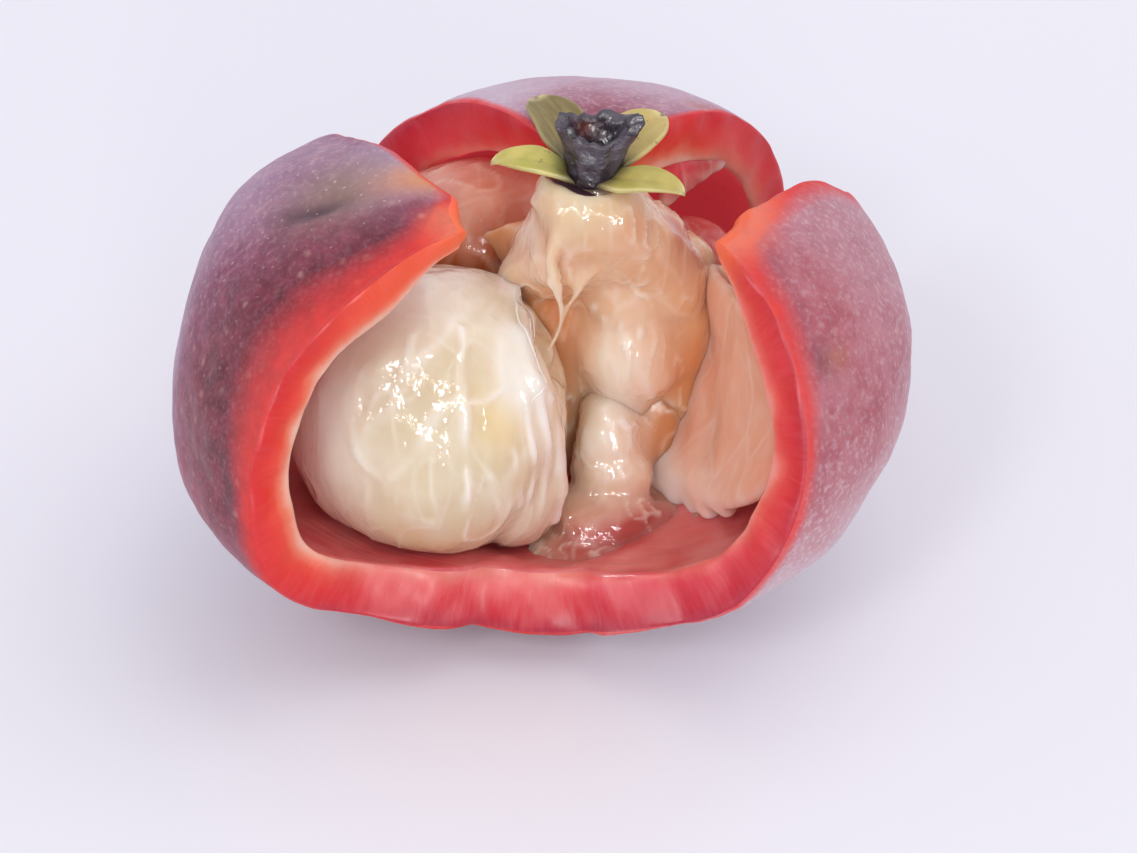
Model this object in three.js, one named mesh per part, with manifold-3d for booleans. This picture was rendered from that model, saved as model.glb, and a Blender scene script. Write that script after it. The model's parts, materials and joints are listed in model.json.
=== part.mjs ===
// An opened kokum fruit. The rind is cut down from the stem end into three flaps that still grow
// together at the base. The back flap keeps the calyx and the broken stem, the side flaps are
// splayed, and the front wedge is gone, so that the wet pulp segments show.
// Millimetres, +Z up. The origin is the middle of the flat spot that the fruit rests on.

import * as THREE from 'three';
import { mergeVertices } from 'three/addons/utils/BufferGeometryUtils.js';
import Module from 'manifold-3d';

const wasm = await Module();
wasm.setup();

// Driving dimensions of the closed fruit.
const RADIUS = 21.6;            // half the width
const HALF_HEIGHT = 17.3;       // half the height
const FULLNESS = 0.94;          // below 1 makes the shoulders fuller than an ellipse
const DIMPLE = { depth: 1.7, width: 5.0 };
const FLAT_END = rad(14);       // polar angle where the flat spot ends
const ROUND_START = rad(34);    // polar angle where the base is fully round again
const RIND = {
  side: 3.9, base: 5.0, baseFrom: rad(25), baseTo: rad(60),
  crown: 2.3, crownFrom: rad(155), tipReach: rad(22),
};
const CUT_END = rad(38);        // the cuts run from the stem down to this polar angle
const GAP = 0.3;                // clearance between neighbouring pieces
const STEM_AXIS = { x: 2.5, y: 0 };

// Flaps. Longitudes are in degrees, counter-clockwise from +X. Each flap leans outward by `lean`
// about a level axis at `pivot`, and moves by `shift`, both growing from nothing at CUT_END.
// `tip` is the share of its thickness that is left at its top.
const FLAPS = {
  right: {
    start: (t) => mix(-61, -52, smooth(CUT_END, rad(122), t)) - foot(t),
    end: (t) => 48 - 18 * smooth(rad(100), rad(140), t) - 45 * cube(t, rad(140), rad(170)),
    columns: 14, top: rad(169), tip: 0.5, facing: -9, lean: rad(12), leanEnd: rad(156),
    pivot: { r: 4.4, z: 2 }, shift: { x: 1.5, y: -1.2 }, bulge: 0,
  },
  back: {
    start: (t) => 48 + kerf(t),
    end: (t) => 137 - kerf(t) - 7 * smooth(rad(110), rad(150), t),
    columns: 12, top: Math.PI, tip: 1, facing: 90, lean: 0, leanEnd: rad(150),
    pivot: { r: 3, z: 3 }, shift: { x: STEM_AXIS.x, y: STEM_AXIS.y }, bulge: 2.2,
  },
  left: {
    start: (t) => 137 + 45 * cube(t, rad(110), rad(168)),
    end: (t) => mix(235, 217, smooth(CUT_END, rad(126), t)) + foot(t),
    columns: 14, top: rad(168), tip: 0.5, facing: 173, lean: rad(-9), leanEnd: rad(112),
    pivot: { r: -2.7, z: 2.9 }, shift: { x: -6.4, y: -2.8 }, bulge: 0,
  },
};
const FRONT_COLUMNS = 4;        // base only, below the missing wedge
const FOOT = { spread: 16, end: rad(56) };  // the front cuts meet the base in a round U
const LOBE_SIDES = 22;
const LOBE_RINGS = 14;
const BASE_ROWS = [0, 14, 20, 26, 32, 38].map(rad);
const FLAP_ROWS = 14;
const DISC = { from: rad(173.5), rows: 2 };   // the round patch under the calyx

// The base follows the flaps outward: `x` and `y` move it, `spread` pushes both sides outward.
const BASE_SHIFT = { x: -2, y: -1, spread: 3.6 };

// Pulp segments: middle, half sizes and turns in degrees. A segment may have more than one lobe.
const PULP = {
  seed_front_left: [
    { at: [-8.7, -3.8, 15.4], half: [9.9, 8.4, 10.9], turn: [-12, 6, 8] },
    { at: [-2.7, -5.2, 10.6], half: [3.6, 3.8, 6.2], turn: [0, 0, 0] },
  ],
  seed_right: [
    { at: [5.5, 2.6, 16.9], half: [4.9, 4.7, 6.4], turn: [0, -8, 0] },
    { at: [4.3, -1.4, 9.9], half: [3.1, 3.5, 3.9], turn: [0, 0, 0] },
  ],
  seed_back_left: [
    { at: [-5.4, 8.8, 19.4], half: [6.6, 6.2, 7.9], turn: [14, 0, 20] },
  ],
  seed_back: [
    { at: [2.6, 11.4, 16.2], half: [4.4, 5.4, 9.4], turn: [0, 0, 0] },
  ],
  seed_back_right: [
    { at: [8.6, 6.2, 17.0], half: [4.8, 5.3, 5.8], turn: [0, 10, -24] },
  ],
};

// Core: the tent of pulp under the calyx and the column below it, as radius and height, wider
// toward `broad`. The column bends away from the stem's axis by `foot`, which it has reached at
// that share of its height.
const CORE = {
  outline: [[0, 30.2], [2.2, 30.2], [3.2, 28.9], [4.1, 27.2], [4.1, 26.0], [3.5, 24.4],
    [2.7, 22.0], [2.2, 18], [2.0, 14], [1.9, 10], [1.7, 7.4], [0, 7.4]],
  top: 30.2, height: 22.8, foot: { x: -3.4, y: 3.2, reached: 0.5 }, broad: [0.16, 0.10], sides: 20,
};
// Septa: thin walls that run from the core between the segments.
const SEPTA = [
  { angle: 164, reach: 8.6, low: 13, high: 27.0 },
  { angle: 108, reach: 10.5, low: 8, high: 26.6 },
  { angle: 62, reach: 9.5, low: 8, high: 24.5 },
];
const SEPTUM = { thick: 1.3, rootShare: 1.3, edgeShare: 0.6, roundedEnds: 0.35, wave: 0.7 };

// The right-hand segment, torn open: it lines the right flap, and its free edge is scalloped.
const LINING = {
  from: rad(87), to: rad(138), inset: 1, columns: 8, rows: 9,
  freeEdge: [[6.9, -0.6, 7.8], [8.6, 1, 9.6], [9.5, 2, 12.8], [9.8, 2, 15.6], [10.9, 1.2, 18.2],
    [10.4, 0, 22]],
  wallEnd: 22, hollow: 0.9, sag: 3.2, scallop: { deep: 0.45, count: 4 },
};

// Calyx: four sepals around the stem. `aim` is the direction in degrees.
const SEPALS = {
  sepal_front_left: { aim: 170, length: 4.9, width: 3.0, lift: 1.0, curl: -1.2, cup: 0.22 },
  sepal_front_right: { aim: -17, length: 4.4, width: 3.2, lift: 0.5, curl: -1.0, cup: 0.18 },
  sepal_back_left: { aim: 117, length: 6.4, width: 3.6, lift: 0.25, curl: 0.2, cup: 0.06 },
  sepal_back_right: { aim: 54, length: 5.0, width: 3.4, lift: 0.25, curl: 0.2, cup: 0.08 },
};
const SEPAL = { thick: 0.55, tipShare: 0.5, start: 2.1, spread: rad(21), bluntTip: 0.12, rows: 9, columns: 6 };
const STEM = {
  base: 33.4, foot: 1.6, mouth: [2.9, 1.9], height: 4.3, lean: [0.6, 0.4], ragged: 0.45, sides: 18,
  // Shares of the foot's radius and of the height, up the outside and down into the hollow.
  outline: [[0, 0], [0.7, 0], [1, 0.03], [1.02, 0.25], [1.1, 0.5], [1.3, 0.75], [1.6, 0.93], [1.7, 1],
    [1.2, 0.97], [0.95, 0.78], [0.65, 0.55], [0, 0.39]],
};

// ---- small helpers -------------------------------------------------------------------------

function rad(degrees) {
  return degrees * Math.PI / 180;
}

function smooth(a, b, x) {
  const u = Math.min(1, Math.max(0, (x - a) / (b - a)));
  return u * u * (3 - 2 * u);
}

function cube(x, a, b) {
  return Math.min(1, Math.max(0, (x - a) / (b - a))) ** 3;
}

function mix(a, b, u) {
  return a + (b - a) * u;
}

// Degrees of longitude that the knife took from each side of a cut.
function kerf(t) {
  return 1.6 * smooth(CUT_END, rad(58), t);
}

// Degrees by which a front cut swings toward the other one as it reaches the base.
function foot(t) {
  return FOOT.spread * (1 - smooth(CUT_END, FOOT.end, t));
}

// Closed mesh of hexahedral cells. A cell is two rings of four points, the outer one
// counter-clockwise seen from outside. Walls that two cells share are left out.
function solidOfCells(cells) {
  const walls = new Map();
  const points = new Map();
  const name = (p) => {
    const key = [p.x, p.y, p.z].map((v) => Math.round(v * 500)).join(',');
    if (!points.has(key)) points.set(key, p);
    return key;
  };
  for (const { outer, inner } of cells) {
    const faces = [outer, [...inner].reverse()];
    for (let i = 0; i < 4; i++) {
      const j = (i + 1) % 4;
      faces.push([outer[j], outer[i], inner[i], inner[j]]);
    }
    for (const face of faces) {
      const keys = face.map(name).filter((key, i, all) => key !== all[(i + 1) % all.length]);
      if (keys.length < 3) continue;
      const id = [...keys].sort().join(' ');
      if (walls.has(id)) walls.delete(id);
      else walls.set(id, keys);
    }
  }
  const place = [];
  for (const keys of walls.values()) {
    for (let i = 1; i + 1 < keys.length; i++) {
      for (const key of [keys[0], keys[i], keys[i + 1]]) place.push(...points.get(key).toArray());
    }
  }
  const geometry = new THREE.BufferGeometry();
  geometry.setAttribute('position', new THREE.Float32BufferAttribute(place, 3));
  return merged(geometry);
}

function merged(geometry) {
  for (const extra of ['normal', 'uv']) geometry.deleteAttribute(extra);
  return mergeVertices(geometry, 1e-3);
}

function toManifold(geometry) {
  const vertProperties = new Float32Array(geometry.attributes.position.array);
  const triVerts = new Uint32Array(geometry.index.array);
  return new wasm.Manifold(new wasm.Mesh({ numProp: 3, vertProperties, triVerts }));
}

function fromManifold(solid) {
  const mesh = solid.getMesh();
  const geometry = new THREE.BufferGeometry();
  geometry.setAttribute('position', new THREE.BufferAttribute(mesh.vertProperties, 3));
  geometry.setIndex(new THREE.BufferAttribute(mesh.triVerts, 1));
  return geometry;
}

// ---- rind ----------------------------------------------------------------------------------

function rindThickness(flap, t) {
  const lower = mix(RIND.base, RIND.side, smooth(RIND.baseFrom, RIND.baseTo, t));
  const upper = mix(lower, RIND.crown, smooth(RIND.crownFrom, Math.PI, t));
  return upper * mix(1, flap.tip, smooth(flap.top - RIND.tipReach, flap.top, t));
}

// Radius and height on the closed fruit at polar angle t, `depth` below the skin.
function profile(t, depth) {
  const sine = Math.max(0, Math.sin(t));
  let r = RADIUS * sine ** FULLNESS;
  let z = HALF_HEIGHT - HALF_HEIGHT * Math.cos(t);
  if (t > Math.PI / 2) z -= DIMPLE.depth * Math.exp(-((r / DIMPLE.width) ** 2));
  else z *= smooth(FLAT_END, ROUND_START, t);
  const nr = sine / RADIUS;
  const nz = -Math.cos(t) / HALF_HEIGHT;
  const length = Math.hypot(nr, nz);
  return [Math.max(0, r - nr / length * depth), z - nz / length * depth];
}

// Height of the closed fruit's skin around the stem, at distance r from the stem's axis.
function skinHeight(r) {
  return profile(Math.PI - Math.asin((r / RADIUS) ** (1 / FULLNESS)), 0)[1];
}

// A point of the opened rind: the closed fruit's point, leaned and moved with its flap.
function rindPoint(flap, longitude, t, depth) {
  const [r, z] = profile(t, depth);
  const angle = rad(longitude);
  const swell = flap.bulge * (0.5 - 0.5 * Math.cos(angle)) ** 1.5 * Math.max(0, Math.sin(t));
  const grown = r + swell * smooth(CUT_END, rad(75), t);
  const p = new THREE.Vector3(grown * Math.cos(angle), grown * Math.sin(angle), z);

  const out = new THREE.Vector3(Math.cos(rad(flap.facing)), Math.sin(rad(flap.facing)), 0);
  const lean = flap.lean * smooth(CUT_END, flap.leanEnd, t);
  const along = p.dot(out) - flap.pivot.r;
  const above = p.z - flap.pivot.z;
  p.addScaledVector(out, along * Math.cos(lean) + above * Math.sin(lean) - along);
  p.z += above * Math.cos(lean) - along * Math.sin(lean) - above;

  const whole = smooth(rad(10), rad(75), t);
  const own = smooth(CUT_END, rad(75), t);
  p.x += whole * mix(BASE_SHIFT.x + BASE_SHIFT.spread * Math.cos(angle), flap.shift.x, own);
  p.y += whole * mix(BASE_SHIFT.y, flap.shift.y, own);
  return p;
}

function rindCell(flap, longitudes, rows, extra) {
  const corner = (i, j, inside) => {
    const t = rows[j];
    return rindPoint(flap, longitudes(t)[i], t, inside ? rindThickness(flap, t) + extra : 0);
  };
  const ring = (inside) => [[0, 0], [1, 0], [1, 1], [0, 1]].map(([i, j]) => corner(i, j, inside));
  return { outer: ring(false), inner: ring(true) };
}

// The rind; `extra` thickens it inward, to hold its neighbours off with.
function rindGeometry(extra = 0) {
  const cells = [];
  const { right, back, left } = FLAPS;
  const patch = (flap, start, end, columns, rows) => {
    for (let c = 0; c < columns; c++) {
      const at = (t) => [c, c + 1].map((k) => mix(start(t), end(t), k / columns));
      for (let j = 0; j + 1 < rows.length; j++) cells.push(rindCell(flap, at, [rows[j], rows[j + 1]], extra));
    }
  };
  const rowsTo = (top) => Array.from({ length: FLAP_ROWS + 1 }, (_, i) => mix(CUT_END, top, i / FLAP_ROWS));
  const discRows = Array.from({ length: DISC.rows + 1 }, (_, i) => mix(DISC.from, Math.PI, i / DISC.rows));

  for (const flap of [right, back, left]) {
    const low = () => flap.start(CUT_END);
    const high = () => flap.end(CUT_END);
    patch(flap, low, high, flap.columns, BASE_ROWS);
    patch(flap, flap.start, flap.end, flap.columns, rowsTo(flap === back ? DISC.from : flap.top));
  }
  patch(back, back.start, back.end, back.columns, discRows);
  patch(back, back.end, (t) => back.start(t) + 360, 3 * back.columns, discRows);
  const frontStart = () => left.end(CUT_END);
  const frontEnd = () => right.start(CUT_END) + 360;
  patch(left, frontStart, frontEnd, FRONT_COLUMNS, BASE_ROWS);
  return solidOfCells(cells);
}

// ---- pulp ----------------------------------------------------------------------------------

// A smooth lobe. `grow` makes it larger all round, to cut a neighbour back with.
function lobe({ at, half, turn }, grow = 0) {
  const geometry = new THREE.SphereGeometry(1, LOBE_SIDES, LOBE_RINGS);
  geometry.scale(...half.map((v) => v + grow));
  geometry.applyMatrix4(new THREE.Matrix4().makeRotationFromEuler(new THREE.Euler(...turn.map(rad))));
  geometry.translate(...at);
  return toManifold(merged(geometry));
}

function segment(lobes, grow = 0) {
  return lobes.map((one) => lobe(one, grow)).reduce((whole, next) => whole.add(next));
}

// Every segment is cut back by the rind and by those before it, so that they nest without touching.
function pulpSolids(guard) {
  const solids = {};
  const done = [];
  for (const [name, lobes] of Object.entries(PULP)) {
    let solid = segment(lobes).subtract(guard);
    for (const earlier of done) solid = solid.subtract(segment(earlier, GAP));
    done.push(lobes);
    solids[name] = largest(solid);
  }
  return solids;
}

// Moves a point of the core from the straight column around the stem's axis to the bent one.
function bent(x, y, z) {
  const { top, height, foot: step } = CORE;
  const down = smooth(0, step.reached, (top - z) / height);
  return [STEM_AXIS.x + x + step.x * down, STEM_AXIS.y + y + step.y * down, z];
}

function wall({ angle, reach, low, high }) {
  const box = new THREE.BoxGeometry(reach, SEPTUM.thick, high - low, 4, 1, 6);
  const place = box.attributes.position;
  for (let i = 0; i < place.count; i++) {
    const u = place.getX(i) / reach + 0.5;
    const v = place.getZ(i) / (high - low) + 0.5;
    place.setX(i, u * reach * (1 - SEPTUM.roundedEnds * (2 * v - 1) ** 2));
    const share = mix(SEPTUM.rootShare, SEPTUM.edgeShare, u);
    place.setY(i, place.getY(i) * share + SEPTUM.wave * Math.sin(3 * v + 2 * u));
  }
  box.rotateZ(rad(angle));
  box.translate(0, 0, (low + high) / 2);
  for (let i = 0; i < place.count; i++) place.setXYZ(i, ...bent(place.getX(i), place.getY(i), place.getZ(i)));
  return toManifold(merged(box));
}

function coreSolid(guard) {
  const { outline, broad, sides } = CORE;
  const turned = outline.map(([r, z]) => new THREE.Vector2(r, z)).reverse();
  const column = merged(new THREE.LatheGeometry(turned, sides));
  const place = column.attributes.position;
  for (let i = 0; i < place.count; i++) {
    const [x, z, y] = [place.getX(i), place.getY(i), -place.getZ(i)];
    const turn = Math.atan2(y, x);
    const wide = 1 + broad[0] * Math.cos(2 * turn) + broad[1] * Math.sin(3 * turn + 1);
    place.setXYZ(i, ...bent(x * wide, y * wide, z));
  }
  let solid = toManifold(column);
  for (const septum of SEPTA) solid = solid.add(wall(septum));
  for (const lobes of Object.values(PULP)) solid = solid.subtract(segment(lobes, GAP));
  return largest(solid.subtract(guard));
}

function liningSolid() {
  const { from, to, inset, columns, rows, freeEdge, wallEnd, hollow, sag, scallop } = LINING;
  const flap = FLAPS.right;
  const edge = new THREE.CatmullRomCurve3(freeEdge.map((p) => new THREE.Vector3(...p)));
  const wallPoint = (u, v) => {
    const t = mix(from, to, v);
    return rindPoint(flap, mix(flap.start(t) + inset, wallEnd, u), t, rindThickness(flap, t) + 2 * GAP);
  };
  const facePoint = (u, v) => {
    const t = mix(from, to, v);
    const near = rindPoint(flap, flap.start(t) + inset, t, rindThickness(flap, t) + 3 * GAP);
    const notch = scallop.deep * Math.sin(v * 2 * Math.PI * scallop.count) * u ** 3;
    const far = edge.getPoint(v).add(new THREE.Vector3(notch, 0, 0));
    const bow = Math.sin(Math.PI * u);
    return near.lerp(far, u).add(new THREE.Vector3(hollow, hollow, -sag * (1 - v) ** 3).multiplyScalar(bow));
  };
  const cells = [];
  for (let c = 0; c < columns; c++) {
    for (let j = 0; j < rows; j++) {
      const ring = (point) => [[c, j], [c, j + 1], [c + 1, j + 1], [c + 1, j]]
        .map(([a, b]) => point(a / columns, b / rows));
      cells.push({ outer: ring(facePoint), inner: ring(wallPoint) });
    }
  }
  let solid = toManifold(solidOfCells(cells));
  for (const lobes of Object.values(PULP)) solid = solid.subtract(segment(lobes, GAP));
  return largest(solid);
}

function largest(solid) {
  const parts = solid.decompose();
  return parts.reduce((best, part) => (part.volume() > best.volume() ? part : best));
}

// ---- calyx and stem ------------------------------------------------------------------------

function sepalGeometry({ aim, length, width, lift, curl, cup }) {
  const { thick, tipShare, start, spread, bluntTip, rows, columns } = SEPAL;
  const point = (c, s, top) => {
    const across = (2 * c / columns - 1);
    const along = s / rows;
    const x = start + along * length;
    const petal = width / 2 * Math.sin(Math.PI * (0.16 + 0.84 * along) ** 0.8) ** 0.7 + bluntTip;
    const half = Math.min(petal, x * Math.tan(spread) - GAP / 2);
    const rise = lift * Math.sin(Math.PI * 0.5 * Math.min(1, 1.6 * along)) + curl * along ** 3;
    const bowl = cup * width * across ** 2 * (1 - 0.5 * along);
    const bed = skinHeight(Math.hypot(x, across * half)) + GAP + (top ? thick * mix(1, tipShare, along) : 0);
    const z = bed + rise + bowl;
    return new THREE.Vector3(x, across * half, z)
      .applyAxisAngle(new THREE.Vector3(0, 0, 1), rad(aim))
      .add(new THREE.Vector3(STEM_AXIS.x, STEM_AXIS.y, 0));
  };
  const cells = [];
  for (let c = 0; c < columns; c++) {
    for (let s = 0; s < rows; s++) {
      const ring = (top) => [[c, s], [c, s + 1], [c + 1, s + 1], [c + 1, s]]
        .map(([a, b]) => point(a, b, top));
      cells.push({ outer: ring(true), inner: ring(false) });
    }
  }
  return solidOfCells(cells);
}

function stemGeometry() {
  const { base, foot, mouth, height, lean, ragged, sides, outline } = STEM;
  const widest = Math.max(...outline.map(([r]) => r));
  const turned = outline.map(([r, v]) => new THREE.Vector2(foot * r, height * v));
  const geometry = merged(new THREE.LatheGeometry(turned, sides));
  const place = geometry.attributes.position;
  for (let i = 0; i < place.count; i++) {
    const [x, up, y] = [place.getX(i), place.getY(i), place.getZ(i)];
    const v = up / height;
    const turn = Math.atan2(y, x);
    const prongs = ragged * v ** 3 * (Math.sin(2 * turn + 0.6) + 0.5 * Math.sin(5 * turn));
    const stretch = mouth.map((m) => mix(1, m / (foot * widest), v));
    place.setXYZ(i, STEM_AXIS.x + x * stretch[0] + lean[0] * v,
      STEM_AXIS.y - y * stretch[1] + lean[1] * v, base + up + prongs);
  }
  return geometry;
}

// ---- the part ------------------------------------------------------------------------------

const LOOKS = {
  rind: { color: 0x9b5a6b, roughness: 0.42 },
  seed: { color: 0xe6d4bf, roughness: 0.2 },
  seed_back: { color: 0xd9a88a, roughness: 0.25 },
  core: { color: 0xe3bfa6, roughness: 0.3 },
  sepal: { color: 0xa6a05c, roughness: 0.55 },
  stem: { color: 0x3c2a28, roughness: 0.6 },
};

function piece(name, geometry, look) {
  geometry.computeVertexNormals();
  const mesh = new THREE.Mesh(geometry, new THREE.MeshStandardMaterial({ ...look, metalness: 0 }));
  mesh.name = name;
  return mesh;
}

const kokum = new THREE.Group();
const guard = toManifold(rindGeometry(GAP));
kokum.add(piece('rind', rindGeometry(), LOOKS.rind));
for (const [name, solid] of Object.entries(pulpSolids(guard))) {
  kokum.add(piece(name, fromManifold(solid), name.includes('back') ? LOOKS.seed_back : LOOKS.seed));
}
kokum.add(piece('core', fromManifold(coreSolid(guard)), LOOKS.core));
kokum.add(piece('pulp_right', fromManifold(liningSolid()), LOOKS.seed));
for (const [name, size] of Object.entries(SEPALS)) kokum.add(piece(name, sepalGeometry(size), LOOKS.sepal));
kokum.add(piece('stem', stemGeometry(), LOOKS.stem));

export default kokum;
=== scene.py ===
"""The opened kokum: three flaps of waxy rind around wet pulp, with the calyx and the broken stem.

Shapes are worked out in millimetres, in the frame of the solids, and become metres when a mesh is
made. The open front of the fruit faces -Y. Angles are in degrees unless a name says otherwise.
"""

from __future__ import annotations

import json
import logging
import math
from dataclasses import dataclass, replace
from enum import Enum

import bmesh
import bpy
import numpy as np
from bpy.types import ID, Material, Mesh, Node, NodeSocket, NodeTree, Object
from mathutils import Matrix, Vector
from mathutils.bvhtree import BVHTree
from mathutils.kdtree import KDTree

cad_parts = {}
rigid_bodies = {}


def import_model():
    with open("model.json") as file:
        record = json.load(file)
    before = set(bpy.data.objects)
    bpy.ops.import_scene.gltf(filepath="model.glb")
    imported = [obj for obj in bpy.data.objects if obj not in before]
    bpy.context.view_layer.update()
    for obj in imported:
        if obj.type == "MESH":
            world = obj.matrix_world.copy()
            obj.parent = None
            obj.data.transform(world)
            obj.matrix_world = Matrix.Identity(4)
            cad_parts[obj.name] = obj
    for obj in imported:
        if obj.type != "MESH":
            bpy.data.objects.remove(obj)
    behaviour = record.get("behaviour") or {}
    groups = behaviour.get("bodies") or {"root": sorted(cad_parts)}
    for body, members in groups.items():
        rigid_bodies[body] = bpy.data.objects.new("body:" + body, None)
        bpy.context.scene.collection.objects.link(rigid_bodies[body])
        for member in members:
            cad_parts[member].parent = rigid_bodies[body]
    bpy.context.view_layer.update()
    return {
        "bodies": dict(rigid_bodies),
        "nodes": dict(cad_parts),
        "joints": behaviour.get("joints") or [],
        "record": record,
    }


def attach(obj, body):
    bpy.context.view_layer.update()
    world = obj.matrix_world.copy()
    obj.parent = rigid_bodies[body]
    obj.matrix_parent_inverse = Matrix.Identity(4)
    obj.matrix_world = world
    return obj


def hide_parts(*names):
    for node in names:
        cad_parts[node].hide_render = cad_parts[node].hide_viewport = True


Array = np.ndarray
Point = tuple[float, float, float]
LOG = logging.getLogger("kokum")
MM = 0.001                      # metres in a millimetre
BODY = "root"
CUT_END = 38.0                  # polar angle where the cuts in the rind end
FREE_END = 75.0                 # polar angle from which a flap moves fully on its own
STEM_AXIS = (2.5, 0.0)


# ---- numbers and colours ----

def ramp(low: float, high: float, x: Array | float) -> Array | float:
    """Rises smoothly from 0 at `low` to 1 at `high`.

    Args:
        low: Where the rise begins.
        high: Where it ends.
        x: Where it is read.

    Returns:
        The height of the rise at x.
    """
    u = np.clip((x - low) / (high - low), 0.0, 1.0)
    return u * u * (3.0 - 2.0 * u)


def cubed(low: float, high: float, x: Array) -> Array:
    """Rises from 0 at `low` to 1 at `high`, slowly at first."""
    return np.clip((x - low) / (high - low), 0.0, 1.0) ** 3


def mix(a: Array | float, b: Array | float, share: Array | float) -> Array | float:
    """Goes from a to b as share goes from 0 to 1."""
    return a + (b - a) * share


def bell(x: Array, width: float) -> Array:
    """A bump of height 1 at 0, `width` to either side."""
    return np.exp(-(x / width) ** 2)


def linear(code: str, alpha: float = 1.0) -> tuple[float, float, float, float]:
    """Turns an sRGB hex code into the linear colour that a shader takes.

    Args:
        code: Six hex digits, with or without a leading hash.
        alpha: The fourth value.

    Returns:
        Red, green, blue and alpha.
    """
    digits = code.lstrip("#")
    parts = [int(digits[i:i + 2], 16) / 255.0 for i in (0, 2, 4)]
    return (*[c / 12.92 if c <= 0.04045 else ((c + 0.055) / 1.055) ** 2.4 for c in parts], alpha)


@dataclass(frozen=True)
class Ripple:
    """A smooth random field made of sine waves.

    Attributes:
        size: Length of a typical wave, in millimetres.
        seed: Picks the waves.
        stretch: How much longer the waves are along x, y and z.
        waves: How many are added up.
    """

    size: float
    seed: int
    stretch: Point = (1.0, 1.0, 1.0)
    waves: int = 12

    def at(self, points: Array) -> Array:
        """Reads the field.

        Args:
            points: Places in millimetres, one in each row.

        Returns:
            A value for each point, mostly between -1 and 1.
        """
        rng = np.random.default_rng(self.seed)
        ways = rng.normal(size=(self.waves, 3))
        ways /= np.linalg.norm(ways, axis=1, keepdims=True)
        ways *= (2.0 * math.pi / self.size) * rng.uniform(0.6, 1.5, size=(self.waves, 1))
        phase = rng.uniform(0.0, 2.0 * math.pi, size=self.waves)
        return np.sin(points @ (ways / np.array(self.stretch)).T + phase).sum(axis=1) / math.sqrt(self.waves)


# ---- meshes ----

def read(items: object, field: str, width: int = 1, kind: type = float) -> Array:
    """Reads one property of a row of items, such as a mesh's points.

    Args:
        items: The row.
        field: Name of the property.
        width: How many numbers it has.
        kind: What the numbers are.

    Returns:
        The numbers, with a row for each item where there are more than one.
    """
    flat = np.empty(len(items) * width, dtype=kind)
    items.foreach_get(field, flat)
    return flat.reshape(-1, width) if width > 1 else flat


def read_points(mesh: Mesh) -> Array:
    """Gives the mesh's points in millimetres, one in each row."""
    return read(mesh.vertices, "co", 3) / MM


def write_points(mesh: Mesh, points: Array) -> None:
    """Puts points in millimetres back into the mesh."""
    mesh.vertices.foreach_set("co", (points * MM).ravel())
    mesh.update()


def read_normals(mesh: Mesh) -> Array:
    """Gives the direction that the surface faces at each point."""
    return read(mesh.vertex_normals, "vector", 3)


def read_edges(mesh: Mesh) -> Array:
    """Gives the pairs of points that edges join."""
    return read(mesh.edges, "vertices", 2, np.int64)


def placed(name: str, data: ID) -> Object:
    """Puts a mesh, lamp or camera in the scene as an object."""
    obj = bpy.data.objects.new(name, data)
    bpy.context.scene.collection.objects.link(obj)
    return obj


def add_layer(mesh: Mesh, name: str, values: Array) -> None:
    """Stores a number at each point, for the materials to read."""
    layer = mesh.attributes.new(name, "FLOAT", "POINT")
    layer.data.foreach_set("value", np.ascontiguousarray(values, dtype=np.float32))


def relax(points: Array, edges: Array, rounds: int, share: Array | float) -> Array:
    """Moves each point toward the middle of its neighbours.

    Args:
        points: Places in millimetres.
        edges: Pairs of joined points.
        rounds: How often it is done.
        share: Part of the way that a point goes each time, one for all or one each.

    Returns:
        The moved points.
    """
    count = len(points)
    ends = np.concatenate([edges, edges[:, ::-1]])
    degree = np.maximum(np.bincount(ends[:, 0], minlength=count), 1)
    part = np.broadcast_to(np.asarray(share, dtype=float), count)[:, None]
    for _ in range(rounds):
        sums = [np.bincount(ends[:, 0], weights=points[ends[:, 1], k], minlength=count) for k in range(3)]
        points = mix(points, np.stack(sums, axis=1) / degree[:, None], part)
    return points


def finished(obj: Object, slot: str, *replaced: str) -> Object:
    """Hands a finished piece to the frame.

    Args:
        obj: The piece.
        slot: Name of the record's material slot; not used.
        replaced: Names of the solids that it stands for.

    Returns:
        The same piece.
    """
    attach(obj, BODY)
    if replaced:
        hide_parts(*replaced)
    LOG.info("%s: %d faces", obj.name, len(obj.data.polygons))
    return obj


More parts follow.
